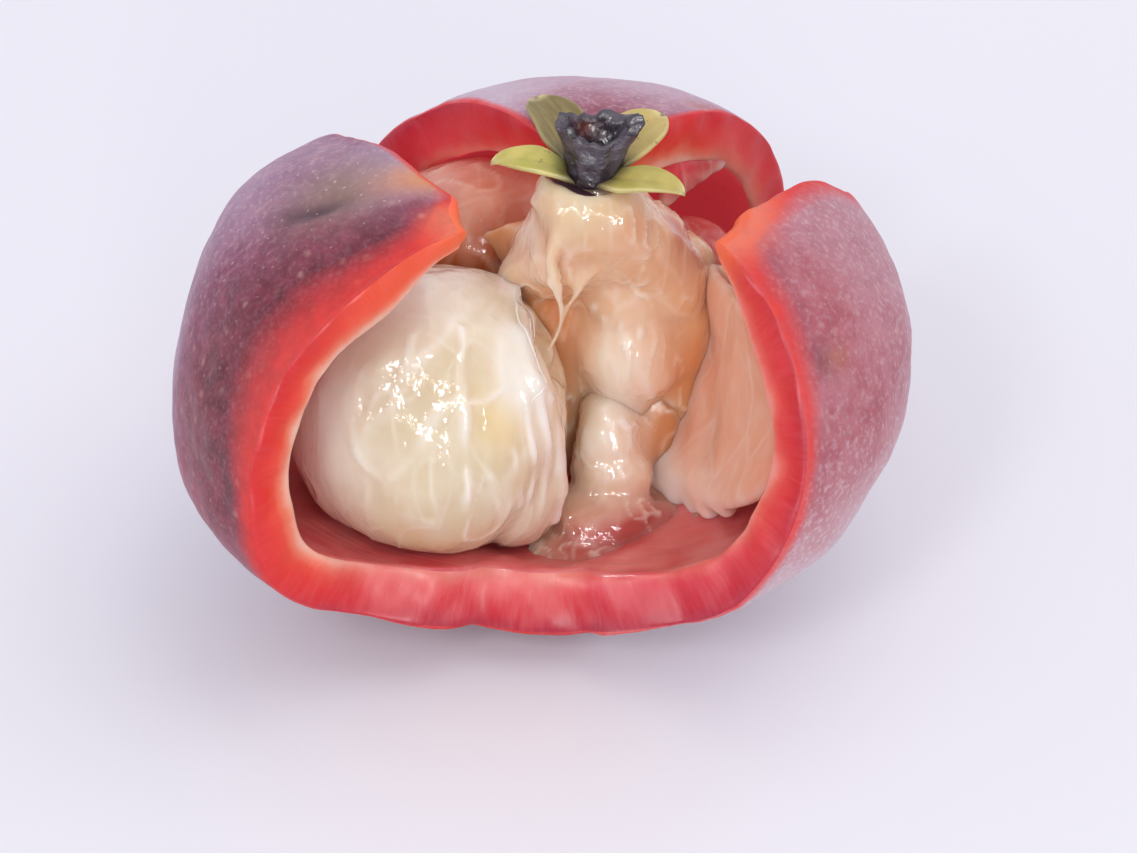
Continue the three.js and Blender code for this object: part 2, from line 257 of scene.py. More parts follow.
class Quilt:
    """Grids of points that are sewn into one closed mesh where their borders meet."""

    def __init__(self, tolerance: float = 0.004) -> None:
        """Starts empty; borders closer than `tolerance` millimetres are sewn together."""
        self.tolerance = tolerance
        self.count = 0
        self.points: list[Array] = []
        self.grain: list[Array] = []
        self.faces: list[Array] = []
        self.finish: list[Array] = []
        self.layers: dict[str, list[Array]] = {}

    def add(self, points: Array, grain: Array, finish: int, layers: dict[str, Array]) -> None:
        """Adds a grid.

        Args:
            points: Array of rows by columns by 3, in millimetres.
            grain: Rows by columns by 2, the flat coordinates that the surface pattern follows.
            finish: Index of the grid's material.
            layers: Rows by columns, a number at each point under each name.
        """
        rows, columns = points.shape[:2]
        index = np.arange(rows * columns).reshape(rows, columns) + self.count
        corners = [index[:-1, :-1], index[1:, :-1], index[1:, 1:], index[:-1, 1:]]
        self.faces.append(np.stack([c.ravel() for c in corners], axis=1))
        self.finish.append(np.full(len(self.faces[-1]), finish))
        self.points.append(points.reshape(-1, 3))
        self.grain.append(grain.reshape(-1, 2))
        for name, values in layers.items():
            self.layers.setdefault(name, []).append(np.broadcast_to(values, (rows, columns)).ravel())
        self.count += rows * columns

    def sewn(self, name: str) -> Object:
        """Joins the grids and turns every face outward.

        Args:
            name: Name of the new object.

        Returns:
            An object whose mesh has the layers and a UV map named grain.
        """
        points = np.concatenate(self.points)
        grain = np.concatenate(self.grain)
        faces = np.concatenate(self.faces)
        finish = np.concatenate(self.finish)
        keys = np.round(points / self.tolerance).astype(np.int64)
        _, first, weld = np.unique(keys, axis=0, return_index=True, return_inverse=True)
        weld = weld.reshape(-1)
        corners, loops, kinds = [], [], []
        for raw, kind in zip(faces.tolist(), finish.tolist()):
            kept: list[int] = []
            for corner in raw:
                if weld[corner] not in [weld[other] for other in kept]:
                    kept.append(corner)
            if len(kept) > 2:
                corners.append([int(weld[corner]) for corner in kept])
                loops.extend(kept)
                kinds.append(kind)
        mesh = bpy.data.meshes.new(name)
        mesh.from_pydata((points[first] * MM).tolist(), [], corners)
        mesh.uv_layers.new(name="grain").data.foreach_set("uv", grain[loops].ravel())
        mesh.polygons.foreach_set("material_index", kinds)
        size = np.bincount(weld)
        for key, parts in self.layers.items():
            add_layer(mesh, key, np.bincount(weld, weights=np.concatenate(parts)) / size)
        turn_outward(mesh)
        mesh.polygons.foreach_set("use_smooth", [True] * len(mesh.polygons))
        return placed(name, mesh)


def turn_outward(mesh: Mesh) -> None:
    """Turns the faces of a closed mesh outward."""
    work = bmesh.new()
    work.from_mesh(mesh)
    bmesh.ops.recalc_face_normals(work, faces=work.faces)
    if work.calc_volume(signed=True) < 0.0:
        bmesh.ops.reverse_faces(work, faces=work.faces)
    work.to_mesh(mesh)
    work.free()


def remeshed(solid: Object | None, name: str, voxel: float, added: tuple = ()) -> Object:
    """Copies a solid, and what grew onto it, as one even net of small faces.

    Args:
        solid: The solid's object, in metres, or nothing where the added forms are all there is.
        name: Name of the new object.
        voxel: Size of a face, in millimetres.
        added: Closed forms that are melted into it.

    Returns:
        The new object, in metres.
    """
    work = bmesh.new()
    if solid:
        work.from_mesh(solid.data)
        bmesh.ops.remove_doubles(work, verts=work.verts, dist=1e-6)
    for form in added:
        form.add_to(work)
    coarse = bpy.data.meshes.new(name)
    work.to_mesh(coarse)
    work.free()
    obj = placed(name, coarse)
    net = obj.modifiers.new("net", "REMESH")
    net.mode = "VOXEL"
    net.voxel_size = voxel * MM
    return applied(obj)


def applied(obj: Object) -> Object:
    """Replaces an object's mesh with what its modifiers make of it, and removes them."""
    graph = bpy.context.evaluated_depsgraph_get()
    result = bpy.data.meshes.new_from_object(
        obj.evaluated_get(graph), preserve_all_data_layers=True, depsgraph=graph)
    result.name = obj.name
    obj.modifiers.clear()
    obj.data = result
    result.polygons.foreach_set("use_smooth", [True] * len(result.polygons))
    return obj


# ---- finishes ----

def add_node(tree: NodeTree, kind: str, inputs: dict | None = None,
             stops: tuple[tuple[float, str], ...] = (), **settings: object) -> Node:
    """Adds one node to a tree.

    Args:
        tree: Material or geometry tree.
        kind: The node's type name.
        inputs: A number, a hex colour, a field, an output, or a node for its first output, under the name
            or number of the input that it sets or feeds.
        stops: Places and hex colours of a color ramp.
        settings: The node's own properties.

    Returns:
        The node.
    """
    node = tree.nodes.new(kind)
    for key, value in settings.items():
        setattr(node, key, value)
    for key, value in (inputs or {}).items():
        if isinstance(value, (Field, Node)):
            value = value.socket if isinstance(value, Field) else value.outputs[0]
        if isinstance(value, NodeSocket):
            tree.links.new(value, node.inputs[key])
        else:
            coloured = isinstance(value, str) and value.startswith("#")
            node.inputs[key].default_value = linear(value) if coloured else value
    if stops:
        elements = node.color_ramp.elements
        while len(elements) < len(stops):
            elements.new(1.0)
        for element, (place, code) in zip(elements, stops):
            element.position = place
            element.color = linear(code)
    return node


@dataclass(frozen=True)
class Field:
    """A value that changes over a surface. Sums and products are held between 0 and 1.

    Attributes:
        tree: The material's tree.
        socket: The output that gives the value.
    """

    tree: NodeTree
    socket: NodeSocket

    def joined(self, operation: str, other: Field | float) -> Field:
        """Makes a new field from this one and another."""
        node = add_node(self.tree, "ShaderNodeMath", {0: self, 1: other}, operation=operation, use_clamp=True)
        return Field(self.tree, node.outputs[0])

    def __add__(self, other: Field | float) -> Field:
        """Adds another field."""
        return self.joined("ADD", other)

    def __mul__(self, other: Field | float) -> Field:
        """Multiplies by another field."""
        return self.joined("MULTIPLY", other)

    def spread(self, start: float, end: float, low: Field | float = 0.0, high: Field | float = 1.0) -> Field:
        """Maps low..high to start..end, held inside that range."""
        mapped = add_node(self.tree, "ShaderNodeMapRange", {
            "Value": self, "From Min": low, "From Max": high, "To Min": start, "To Max": end}, clamp=True)
        return Field(self.tree, mapped.outputs["Result"])


@dataclass(frozen=True)
class Surface:
    """What one material's patterns are drawn on.

    Attributes:
        tree: The material's tree.
        place: The output that gives places on the fruit, in metres.
    """

    tree: NodeTree
    place: NodeSocket

    def layer(self, name: str) -> Field:
        """Reads a layer of the mesh."""
        reader = add_node(self.tree, "ShaderNodeAttribute", attribute_name=name)
        return Field(self.tree, reader.outputs["Fac"])

    def stretched(self, along: float) -> Node:
        """Gives the grain map's coordinates, in which patterns are drawn out along the grain."""
        flat = add_node(self.tree, "ShaderNodeUVMap", uv_map="grain")
        return add_node(self.tree, "ShaderNodeMapping", {"Vector": flat, "Scale": (MM, along * MM, MM)})

    def speckle(self, size: float, detail: float, low: float, high: float,
                source: Node | None = None) -> Field:
        """Adds noise whose blotches are `size` millimetres across.

        Args:
            size: Size of a blotch in millimetres.
            detail: How many finer levels there are.
            low: Noise value that gives 0.
            high: Noise value that gives 1.
            source: Node that gives coordinates in metres, where they aren't the places themselves.

        Returns:
            A field from 0 to 1.
        """
        noise = add_node(self.tree, "ShaderNodeTexNoise", {
            "Vector": source or self.place, "Scale": 1.0 / (size * MM), "Detail": detail})
        return Field(self.tree, noise.outputs[0]).spread(0.0, 1.0, low, high)

    def washed(self, colour: object, *washes: tuple[object, object]) -> NodeSocket:
        """Lays washes of colour over a colour, one after the other.

        Args:
            colour: What lies under them, as add_node takes it.
            washes: How much there is of each wash, and its colour.

        Returns:
            The colour that they make together.
        """
        for share, wash in washes:
            mixed = add_node(self.tree, "ShaderNodeMix", {0: share, 6: colour, 7: wash}, data_type="RGBA")
            colour = mixed.outputs[2]
        return colour


@dataclass(frozen=True)
class Finish:
    """What a surface is made of.

    Attributes:
        name: Name of the material.
    """

    name: str

    def material(self) -> Material:
        """Makes the material."""
        made = bpy.data.materials.new(self.name)
        made.use_nodes = True
        tree = made.node_tree
        tree.nodes.clear()
        surface = Surface(tree, add_node(tree, "ShaderNodeTexCoord").outputs["Object"])
        shader = add_node(tree, "ShaderNodeBsdfPrincipled", self.inputs(surface))
        add_node(tree, "ShaderNodeOutputMaterial", {"Surface": shader.outputs["BSDF"]})
        return made

    def inputs(self, surface: Surface) -> dict[str, object]:
        """Gives what the shader's inputs are set to or fed by.

        Args:
            surface: What the patterns are drawn on.

        Returns:
            A number, a hex colour, a field or an output for each input that differs from the usual.
        """
        raise NotImplementedError


@dataclass(frozen=True)
class WaxySkin(Finish):
    """Kokum skin: a thin purple peel under a coat of wax, with a lilac bloom and fine pale specks.

    It is smooth and half glossy, and the flesh shines red through it beside a cut. Its bloom layer also
    paints light and sheen: it is lighter on the right flap and at the left flap's outer edge.
    """

    def inputs(self, surface: Surface) -> dict[str, object]:
        """Gives the shader's inputs."""
        tree = surface.tree
        cloud = surface.speckle(8.0, 4.0, 0.3, 0.7)
        mottle = surface.speckle(1.3, 5.0, 0.36, 0.68)
        fine = surface.speckle(0.34, 2.0, 0.5, 0.72)
        rime = surface.speckle(0.42, 3.0, 0.5, 0.72)
        cells = add_node(tree, "ShaderNodeTexVoronoi", {"Vector": surface.place, "Scale": 1.0 / (1.5 * MM)})
        dot = Field(tree, cells.outputs["Distance"]).spread(0.0, 1.0, 0.26, 0.04)
        edge, fade, tip = (surface.layer(name) for name in ("edge", "fade", "tip"))
        # The bloom layer carries painted light and sheen as well as the lilac bloom.
        light = surface.layer("bloom_and_painted_light") + cloud.spread(-0.07, 0.1) + mottle.spread(-0.06, 0.08)
        rose = add_node(tree, "ShaderNodeValToRGB", {"Fac": light}, (
            (0.0, "#58101e"), (0.25, "#7c2a3c"), (0.5, "#a85662"), (0.75, "#c48c94"), (1.0, "#d2bcc4")))
        plum = add_node(tree, "ShaderNodeValToRGB", {"Fac": light}, (
            (0.0, "#580a1c"), (0.22, "#64182e"), (0.5, "#7e3e5a"), (0.78, "#a07e9a"), (1.0, "#beacc4")))
        warm = edge.spread(0.0, 0.92, fade, fade * 0.2) + tip
        red = surface.washed("#dc2c24", (tip, "#ea7458"))
        skin = surface.washed(
            rose, (surface.layer("plum"), plum), (mottle * 0.26, "#a83c50"), (fine * 0.08, "#d8b2c0"),
            (dot * mottle.spread(0.05, 0.55), "#d0a096"), (rime * surface.layer("rime"), "#e8dade"),
            (surface.layer("olive") * cloud.spread(0.6, 1.0), "#86704e"),
            (surface.layer("bruise_and_shade"), "#4e3440"), (surface.layer("rust") * fine.spread(0.5, 1.0), "#b8683a"),
            (surface.layer("gold"), "#dc8e48"),
            (warm * mottle.spread(0.8, 1.0), red))
        return {
            "Base Color": skin, "Roughness": cloud.spread(0.44, 0.52) + edge.spread(0.0, 0.3, 1.6, 0.4),
            "Normal": add_node(tree, "ShaderNodeBump", {
                "Height": fine.spread(0.0, 0.4) + mottle.spread(0.0, 0.6),
                "Strength": 0.25, "Distance": 0.1 * MM}),
            "Specular IOR Level": 0.35, "Sheen Weight": 0.07, "Sheen Roughness": 0.4, "Sheen Tint": "#dcd0f0",
            "Coat Weight": edge.spread(0.0, 0.08, 0.4, 1.6), "Coat Roughness": 0.3,
            "Subsurface Weight": 0.1, "Subsurface Radius": (1.0, 0.3, 0.25), "Subsurface Scale": 1.5 * MM}


@dataclass(frozen=True)
class CutFlesh(Finish):
    """Rind flesh under the knife: juicy and crimson below the skin, salmon toward the pulp.

    Fine fibres cross the cut from the skin inward, and the juice gives it a wet shine.
    """

    def inputs(self, surface: Surface) -> dict[str, object]:
        """Gives the shader's inputs."""
        tree = surface.tree
        cloud = surface.speckle(3.2, 3.0, 0.3, 0.7)
        fibre = surface.speckle(0.42, 4.0, 0.38, 0.7, surface.stretched(0.16))
        depth = surface.layer("depth") + cloud.spread(-0.09, 0.09)
        bright = add_node(tree, "ShaderNodeValToRGB", {"Fac": depth}, (
            (0.0, "#d02428"), (0.08, "#da2424"), (0.4, "#e63222"), (0.6, "#ea4c30"), (0.78, "#ee8464"),
            (0.94, "#f2bca4"), (1.0, "#f2c4ae")))
        dark = add_node(tree, "ShaderNodeValToRGB", {"Fac": depth}, (
            (0.0, "#ae1c3c"), (0.3, "#c81c34"), (0.75, "#da3444"), (1.0, "#e06a62")))
        # Painted light: the sun layer lightens the cut toward the flaps' tops.
        flesh = surface.washed(
            bright, (surface.layer("crimson"), dark),
            (surface.layer("painted_sunlight") * depth.spread(0.1, 0.8, 0.9, 0.6), "#fa6844"),
            (surface.layer("tip") * 0.75, "#f4764a"),
            (fibre * surface.layer("frost").spread(0.02, 0.12), "#efa3a8"))
        return {
            "Base Color": flesh, "Roughness": fibre.spread(0.42, 0.6),
            "Normal": add_node(tree, "ShaderNodeBump", {
                "Height": fibre.spread(0.0, 0.6) + cloud.spread(0.0, 0.4),
                "Strength": 0.25, "Distance": 0.1 * MM}),
            "Specular IOR Level": 0.3, "Coat Weight": 0.05, "Coat Roughness": 0.25,
            "Subsurface Weight": 0.45, "Subsurface Radius": (1.0, 0.2, 0.12), "Subsurface Scale": 1.6 * MM}


@dataclass(frozen=True)
class HollowWall(Finish):
    """Inner face of the rind: slick pink skin over crimson flesh, with a painted glow standing for daylight
    through it.
    """

    def inputs(self, surface: Surface) -> dict[str, object]:
        """Gives the shader's inputs."""
        cloud = surface.speckle(4.5, 5.0, 0.32, 0.68)
        vein = surface.speckle(1.1, 4.0, 0.45, 0.7, surface.stretched(0.3))
        # Painted light: the glow layer lightens the colour and makes the wall glow where the hollow lies in
        # shade.
        painted_glow = surface.layer("painted_glow")
        return {
            "Base Color": surface.washed("#c8444a", (cloud, "#dc8480"), (vein * 0.15, "#e8b2aa"),
                                         (painted_glow * 1.1, "#e04654")),
            "Roughness": 0.3, "Normal": add_node(surface.tree, "ShaderNodeBump", {
                "Height": vein, "Strength": 0.25, "Distance": 0.1 * MM}),
            "Emission Color": "#d44450", "Emission Strength": painted_glow.spread(0.0, 0.3, 0.3, 0.8),
            "Coat Weight": 0.3, "Coat Roughness": 0.12,
            "Subsurface Weight": 0.3, "Subsurface Radius": (1.0, 0.3, 0.22), "Subsurface Scale": 2.0 * MM}


@dataclass(frozen=True)
class WetPulp(Finish):
    """Kokum pulp: translucent jelly around a seed, under a thin wet membrane with paler folds.

    Attributes:
        body: Colour of the jelly.
        shade: Its colour in darker patches that noise spreads over it.
        fold: Colour of the folds of membrane.
        warm: Colour where the layer named warm is 1; in a piece's hollows it is painted shade.
        gloss: Weight of the wet film.
        depth: How far light wanders in it, in millimetres.
        dimple: Height of the ripples in its wet film, in millimetres.
        blush: Colour where the layer named pink is 1.
    """

    body: str
    shade: str
    fold: str
    warm: str
    gloss: float = 0.6
    depth: float = 3.0
    dimple: float = 0.2
    blush: str = "#e2a095"

    def inputs(self, surface: Surface) -> dict[str, object]:
        """Gives the shader's inputs."""
        tree = surface.tree
        tall = add_node(tree, "ShaderNodeMapping", {"Vector": surface.place, "Scale": (1.0, 1.0, 0.4)})
        cloud = surface.speckle(4.2, 3.0, 0.3, 0.7)
        thread = surface.speckle(1.2, 4.0, 0.5, 0.72, tall)
        film = surface.speckle(1.7, 3.5, 0.25, 0.75, tall)
        bend = add_node(tree, "ShaderNodeTexNoise", {
            "Vector": tall, "Scale": 1.0 / (4.0 * MM), "Detail": 2.0})
        bent = add_node(tree, "ShaderNodeMix", {0: 0.0016, 6: tall, 7: bend.outputs["Color"]},
                        data_type="RGBA", blend_type="ADD")
        net = add_node(tree, "ShaderNodeTexVoronoi", {"Vector": bent.outputs[2], "Scale": 1.0 / (4.4 * MM)},
                       feature="DISTANCE_TO_EDGE")
        vein = Field(tree, net.outputs["Distance"]).spread(0.0, 1.0, 0.05, 0.005) * cloud
        jelly = surface.washed(
            self.body, (cloud, self.shade), (thread * 0.22, self.fold), (vein * 0.4, self.fold),
            (surface.layer("warm"), self.warm), (surface.layer("yellow"), "#f3d888"),
            (surface.layer("pink"), self.blush), (surface.layer("fold"), self.fold))
        return {
            "Base Color": jelly, "Roughness": cloud.spread(0.3, 0.45), "Specular IOR Level": 0.2, "IOR": 1.37,
            "Subsurface Weight": 0.7, "Subsurface Radius": (1.0, 0.78, 0.58),
            "Subsurface Scale": self.depth * MM,
            "Coat Weight": self.gloss, "Coat Roughness": 0.03, "Coat IOR": 1.45,
            "Coat Normal": add_node(tree, "ShaderNodeBump", {
                "Height": film, "Strength": 1.0, "Distance": self.dimple * MM})}


@dataclass(frozen=True)
class SepalLeaf(Finish):
    """Fresh sepal: fleshy lime green, dull, with a cream margin, small brown spots and painted shade at its
    root.

    Attributes:
        faded: Its colour where the layer named old is 1.
    """

    faded: str

    def inputs(self, surface: Surface) -> dict[str, object]:
        """Gives the shader's inputs."""
        cloud = surface.speckle(1.6, 4.0, 0.3, 0.7)
        vein = surface.speckle(0.35, 2.0, 0.4, 0.7, surface.stretched(0.12))
        spot = surface.speckle(0.5, 3.0, 0.66, 0.74)
        # Near the root the leaf turns dark brown: painted shade where it meets the stem.
        leaf = surface.washed(
            "#aaa63c", (cloud, "#cfc068"), (surface.layer("old"), self.faded), (vein * 0.16, "#d6cd86"),
            (surface.layer("margin") * 0.75, "#e0d29c"), (surface.layer("root") * 0.9, "#4a4028"),
            (spot * 0.7, "#7b4f26"))
        return {
            "Base Color": leaf, "Roughness": 0.48, "Normal": add_node(surface.tree, "ShaderNodeBump", {
                "Height": vein, "Strength": 0.25, "Distance": 0.08 * MM}),
            "Subsurface Weight": 0.25, "Subsurface Radius": (0.5, 0.8, 0.2), "Subsurface Scale": 0.8 * MM}


@dataclass(frozen=True)
class CharredStem(Finish):
    """Broken stem: nearly black bark, oily where it is wet, rusty brown inside the mouth."""

    def inputs(self, surface: Surface) -> dict[str, object]:
        """Gives the shader's inputs."""
        cloud = surface.speckle(1.3, 5.0, 0.35, 0.68)
        chip = surface.speckle(0.4, 4.0, 0.45, 0.65)
        mouth = surface.washed("#7e3e2e", (cloud, "#321622"))
        bark = surface.washed(
            "#261e28", (cloud, "#4c4050"), (surface.layer("inside") * cloud.spread(1.0, 0.7), mouth),
            (chip * 0.2, "#58485a"))
        return {
            "Base Color": bark, "Roughness": cloud.spread(0.3, 0.6),
            "Coat Weight": 0.35, "Coat Roughness": 0.12,
            "Normal": add_node(surface.tree, "ShaderNodeBump", {
                "Height": chip.spread(0.0, 0.5) + cloud.spread(0.0, 0.5),
                "Strength": 0.5, "Distance": 0.2 * MM})}


@dataclass(frozen=True)
class PaleSpeck(Finish):
    """Lenticel: a corky pore in the skin, paler than the peel around it, and dull."""

    def inputs(self, surface: Surface) -> dict[str, object]:
        """Gives the shader's inputs."""
        cork = add_node(surface.tree, "ShaderNodeValToRGB", {"Fac": surface.layer("tone")}, (
            (0.0, "#8a5454"), (0.4, "#a07078"), (0.7, "#c29898"), (1.0, "#ccacae")))
        return {"Base Color": cork, "Roughness": 0.5, "Subsurface Weight": 0.2, "Subsurface Scale": 0.6 * MM}


@dataclass(frozen=True)
class PlainPaper(Finish):
    """Studio paper under the fruit: matt and nearly white, with a cool cast."""

    def inputs(self, surface: Surface) -> dict[str, object]:
        """Gives the shader's inputs."""
        paper = surface.washed("#e5e4eb", (surface.speckle(90.0, 2.0, 0.2, 0.8), "#eae9f0"))
        return {"Base Color": paper, "Roughness": 0.9, "Specular IOR Level": 0.1}


# ---- rind ----

class Side(Enum):
    """The three flaps, named from the front."""

    RIGHT = "right"
    BACK = "back"
    LEFT = "left"


class RindFace(Enum):
    """Places of the rind's materials on its mesh."""

    SKIN = 0
    FLESH = 1
    HOLLOW = 2


@dataclass(frozen=True)
class Flap:
    """One flap of the rind, with the numbers of the solid.

    Attributes:
        side: Which flap it is.
        facing: Direction in which it leans out.
        lean: How far it leans.
        lean_end: Polar angle where it leans fully.
        pivot: Radius and height of the axis that it leans about.
        shift: How far it moves along x and y.
        bulge: How much its middle swells out.
        top: Polar angle of its tip.
        tip: Share of its thickness left at its tip.
        columns: Faces across it.
    """

    side: Side
    facing: float
    lean: float
    lean_end: float
    pivot: tuple[float, float]
    shift: tuple[float, float]
    bulge: float
    top: float
    tip: float
    columns: int

    def span(self, t: Array) -> tuple[Array, Array]:
        """Gives the longitudes of both cut edges at polar angle t."""
        kerf = 1.6 * ramp(CUT_END, 58.0, t)
        foot = 16.0 * (1.0 - ramp(CUT_END, 56.0, t))
        if self.side is Side.RIGHT:
            start = mix(-61.0, -52.0, ramp(CUT_END, 122.0, t)) - foot
            return start, 48.0 - 18.0 * ramp(100.0, 140.0, t) - 45.0 * cubed(140.0, 170.0, t)
        if self.side is Side.BACK:
            return 48.0 + kerf, 137.0 - kerf - 7.0 * ramp(110.0, 150.0, t)
        end = mix(235.0, 217.0, ramp(CUT_END, 126.0, t)) + foot
        return 137.0 + 45.0 * cubed(110.0, 168.0, t), end


FLAPS = {flap.side: flap for flap in (
    Flap(Side.RIGHT, facing=-9.0, lean=12.0, lean_end=156.0, pivot=(4.4, 2.0), shift=(1.5, -1.2), bulge=0.0,
         top=169.0, tip=0.5, columns=96),
    Flap(Side.BACK, facing=90.0, lean=0.0, lean_end=150.0, pivot=(3.0, 3.0), shift=STEM_AXIS, bulge=2.2,
         top=180.0, tip=1.0, columns=84),
    Flap(Side.LEFT, facing=173.0, lean=-9.0, lean_end=112.0, pivot=(-2.7, 2.9), shift=(-6.4, -2.8), bulge=0.0,
         top=168.0, tip=0.5, columns=90),
)}


def crowded(count: int, pull: float) -> Array:
    """Gives the borders of `count` strips between 0 and 1, narrower toward both ends by the share `pull`."""
    u = np.linspace(0.0, 1.0, count + 1)
    return u - pull * np.sin(2.0 * math.pi * u) / (2.0 * math.pi)


@dataclass(frozen=True)
class Blot:
    """A soft-edged place that stands out from its surface.

    Attributes:
        layer: Name of the layer that it is added to.
        at: Its middle, in millimetres.
        size: Its half sizes along x, y and z.
        strength: The layer's value at its middle.
    """

    layer: str
    at: Point
    size: Point
    strength: float = 1.0

    def over(self, points: Array) -> Array:
        """Gives the blot's value at each point."""
        away = np.linalg.norm((points - np.array(self.at)) / np.array(self.size), axis=1)
        return self.strength * bell(away, 1.0)


def blotted(points: Array, blots: tuple[Blot, ...], layer: str) -> Array:
    """Adds up the blots of one layer at each point."""
    total = np.zeros(len(points))
    for blot in blots:
        if blot.layer == layer:
            total += blot.over(points)
    return total


@dataclass
class Rind:
    """The rind, opened into three flaps that still grow together at the base.

    Attributes:
        radius: Half the width of the closed fruit.
        half_height: Half its height.
        fullness: Below 1 makes the shoulders fuller than an ellipse.
        dimple: Depth and width of the dimple at the stem.
        flat_end: Polar angle where the flat spot ends.
        round_start: Polar angle where the base is fully round again.
        disc: Polar angle where the round patch under the calyx begins.
        rows: Faces up a flap.
        base_rows: Faces from the pole to the end of the cuts.
        disc_rows: Faces up the round patch under the calyx.
        front_columns: Faces across the low front rim.
        steps: Faces through the rind's thickness.
        soft: How far a cut edge is rounded, in millimetres.
        soft_tip: How far the end of a flap is rounded, in millimetres.
        blots: Places where the skin has another colour or a dent.
    """

    radius: float = 21.6
    half_height: float = 17.3
    fullness: float = 0.94
    dimple: tuple[float, float] = (1.7, 5.0)
    flat_end: float = 14.0
    round_start: float = 34.0
    disc: float = 173.5
    rows: int = 92
    base_rows: int = 26
    disc_rows: int = 8
    front_columns: int = 30
    steps: int = 15
    soft: float = 0.45
    soft_tip: float = 1.6
    blots: tuple[Blot, ...] = (
        # Darker skin around the stem's foot, which also paints the shade under the calyx.
        Blot("bruise_and_shade", (2.5, 0.0, 33.4), (3.2, 3.2, 1.6)),
        Blot("olive", (-14.5, -2.0, 33.2), (4.6, 3.2, 3.0), 0.75),
        Blot("bruise_and_shade", (-15.7, -3.0, 33.0), (2.3, 0.7, 1.4), 0.9),
        Blot("bruise_and_shade", (-17.5, -2.4, 31.6), (1.6, 1.0, 1.2), 0.5),
        Blot("dent", (-15.6, -3.0, 33.0), (2.6, 0.9, 2.0), 0.45),
        Blot("dent", (-15.2, -2.2, 33.0), (4.0, 2.8, 3.0), 0.4),
        Blot("dent", (-20.0, 3.8, 27.6), (6.5, 7.0, 7.5), -1.2),
        Blot("dent", (-14.6, 6.0, 31.6), (2.6, 3.0, 2.6), 0.5),
        Blot("dent", (-10.6, 0.8, 34.2), (3.0, 3.0, 3.0), -0.5),
        Blot("gold", (-8.6, -2.2, 34.0), (2.8, 1.4, 1.8), 0.85),
        Blot("rust", (19.0, -11.4, 27.2), (1.4, 1.0, 0.7), 0.75),
        Blot("bruise_and_shade", (18.2, -12.2, 27.8), (1.8, 1.2, 1.2), 0.4),
        Blot("rust", (10.0, 10.4, 31.5), (1.3, 1.0, 0.7), 0.8),
        Blot("dent", (10.0, 10.4, 31.5), (1.3, 1.0, 1.0), 0.15),
    )

    def profile(self, t: Array, depth: Array) -> tuple[Array, Array]:
        """Radius and height on the closed fruit at polar angle t, `depth` below the skin."""
        angle = np.radians(t)
        sine = np.clip(np.sin(angle), 0.0, None)
        r = self.radius * sine ** self.fullness
        z = self.half_height - self.half_height * np.cos(angle)
        dimpled = z - self.dimple[0] * bell(r, self.dimple[1])
        z = np.where(t > 90.0, dimpled, z * ramp(self.flat_end, self.round_start, t))
        nr, nz = sine / self.radius, -np.cos(angle) / self.half_height
        length = np.hypot(nr, nz)
        return np.maximum(0.0, r - nr / length * depth), z - nz / length * depth

    def skin_height(self, r: Array) -> Array:
        """Height of the skin around the stem, at distance r from the stem's axis."""
        t = 180.0 - np.degrees(np.arcsin((r / self.radius) ** (1.0 / self.fullness)))
        return self.profile(t, np.zeros_like(t))[1]

    def thickness(self, flap: Flap, t: Array) -> Array:
        """Thickness of the rind at polar angle t."""
        lower = mix(5.0, 3.9, ramp(25.0, 60.0, t))
        upper = mix(lower, 2.3, ramp(155.0, 180.0, t))
        return upper * mix(1.0, flap.tip, ramp(flap.top - 22.0, flap.top, t))

    def place(self, flap: Flap, longitude: Array, t: Array, depth: Array) -> Array:
        """Finds points of the opened rind.

        Args:
            flap: The flap that they belong to.
            longitude: Degrees around the closed fruit.
            t: Polar angles, from 0 at the base.
            depth: Millimetres below the skin.

        Returns:
            Points in millimetres.
        """
        r, z = self.profile(t, depth)
        angle = np.radians(longitude)
        swell = flap.bulge * (0.5 - 0.5 * np.cos(angle)) ** 1.5 * np.clip(np.sin(np.radians(t)), 0.0, None)
        r = r + swell * ramp(CUT_END, FREE_END, t)
        x, y = r * np.cos(angle), r * np.sin(angle)
        out = (math.cos(math.radians(flap.facing)), math.sin(math.radians(flap.facing)))
        lean = math.radians(flap.lean) * ramp(CUT_END, flap.lean_end, t)
        along = x * out[0] + y * out[1] - flap.pivot[0]
        above = z - flap.pivot[1]
        push = along * np.cos(lean) + above * np.sin(lean) - along
        z = z + above * np.cos(lean) - along * np.sin(lean) - above
        whole, own = ramp(10.0, FREE_END, t), ramp(CUT_END, FREE_END, t)
        x = x + out[0] * push + whole * mix(-2.0 + 3.6 * np.cos(angle), flap.shift[0], own)
        y = y + out[1] * push + whole * mix(-1.0, flap.shift[1], own)
        return np.stack(np.broadcast_arrays(x, y, z), axis=-1)

    def marks(self, flap: Flap, longitude: Array, t: Array) -> dict[str, Array]:
        """Gives the layers that follow the flap's own shape.

        Args:
            flap: The flap.
            longitude: Degrees around the closed fruit.
            t: Polar angles.

        Returns:
            Values from 0 to 1 for each layer; fade is how far the red reaches from a cut, in millimetres.
        """
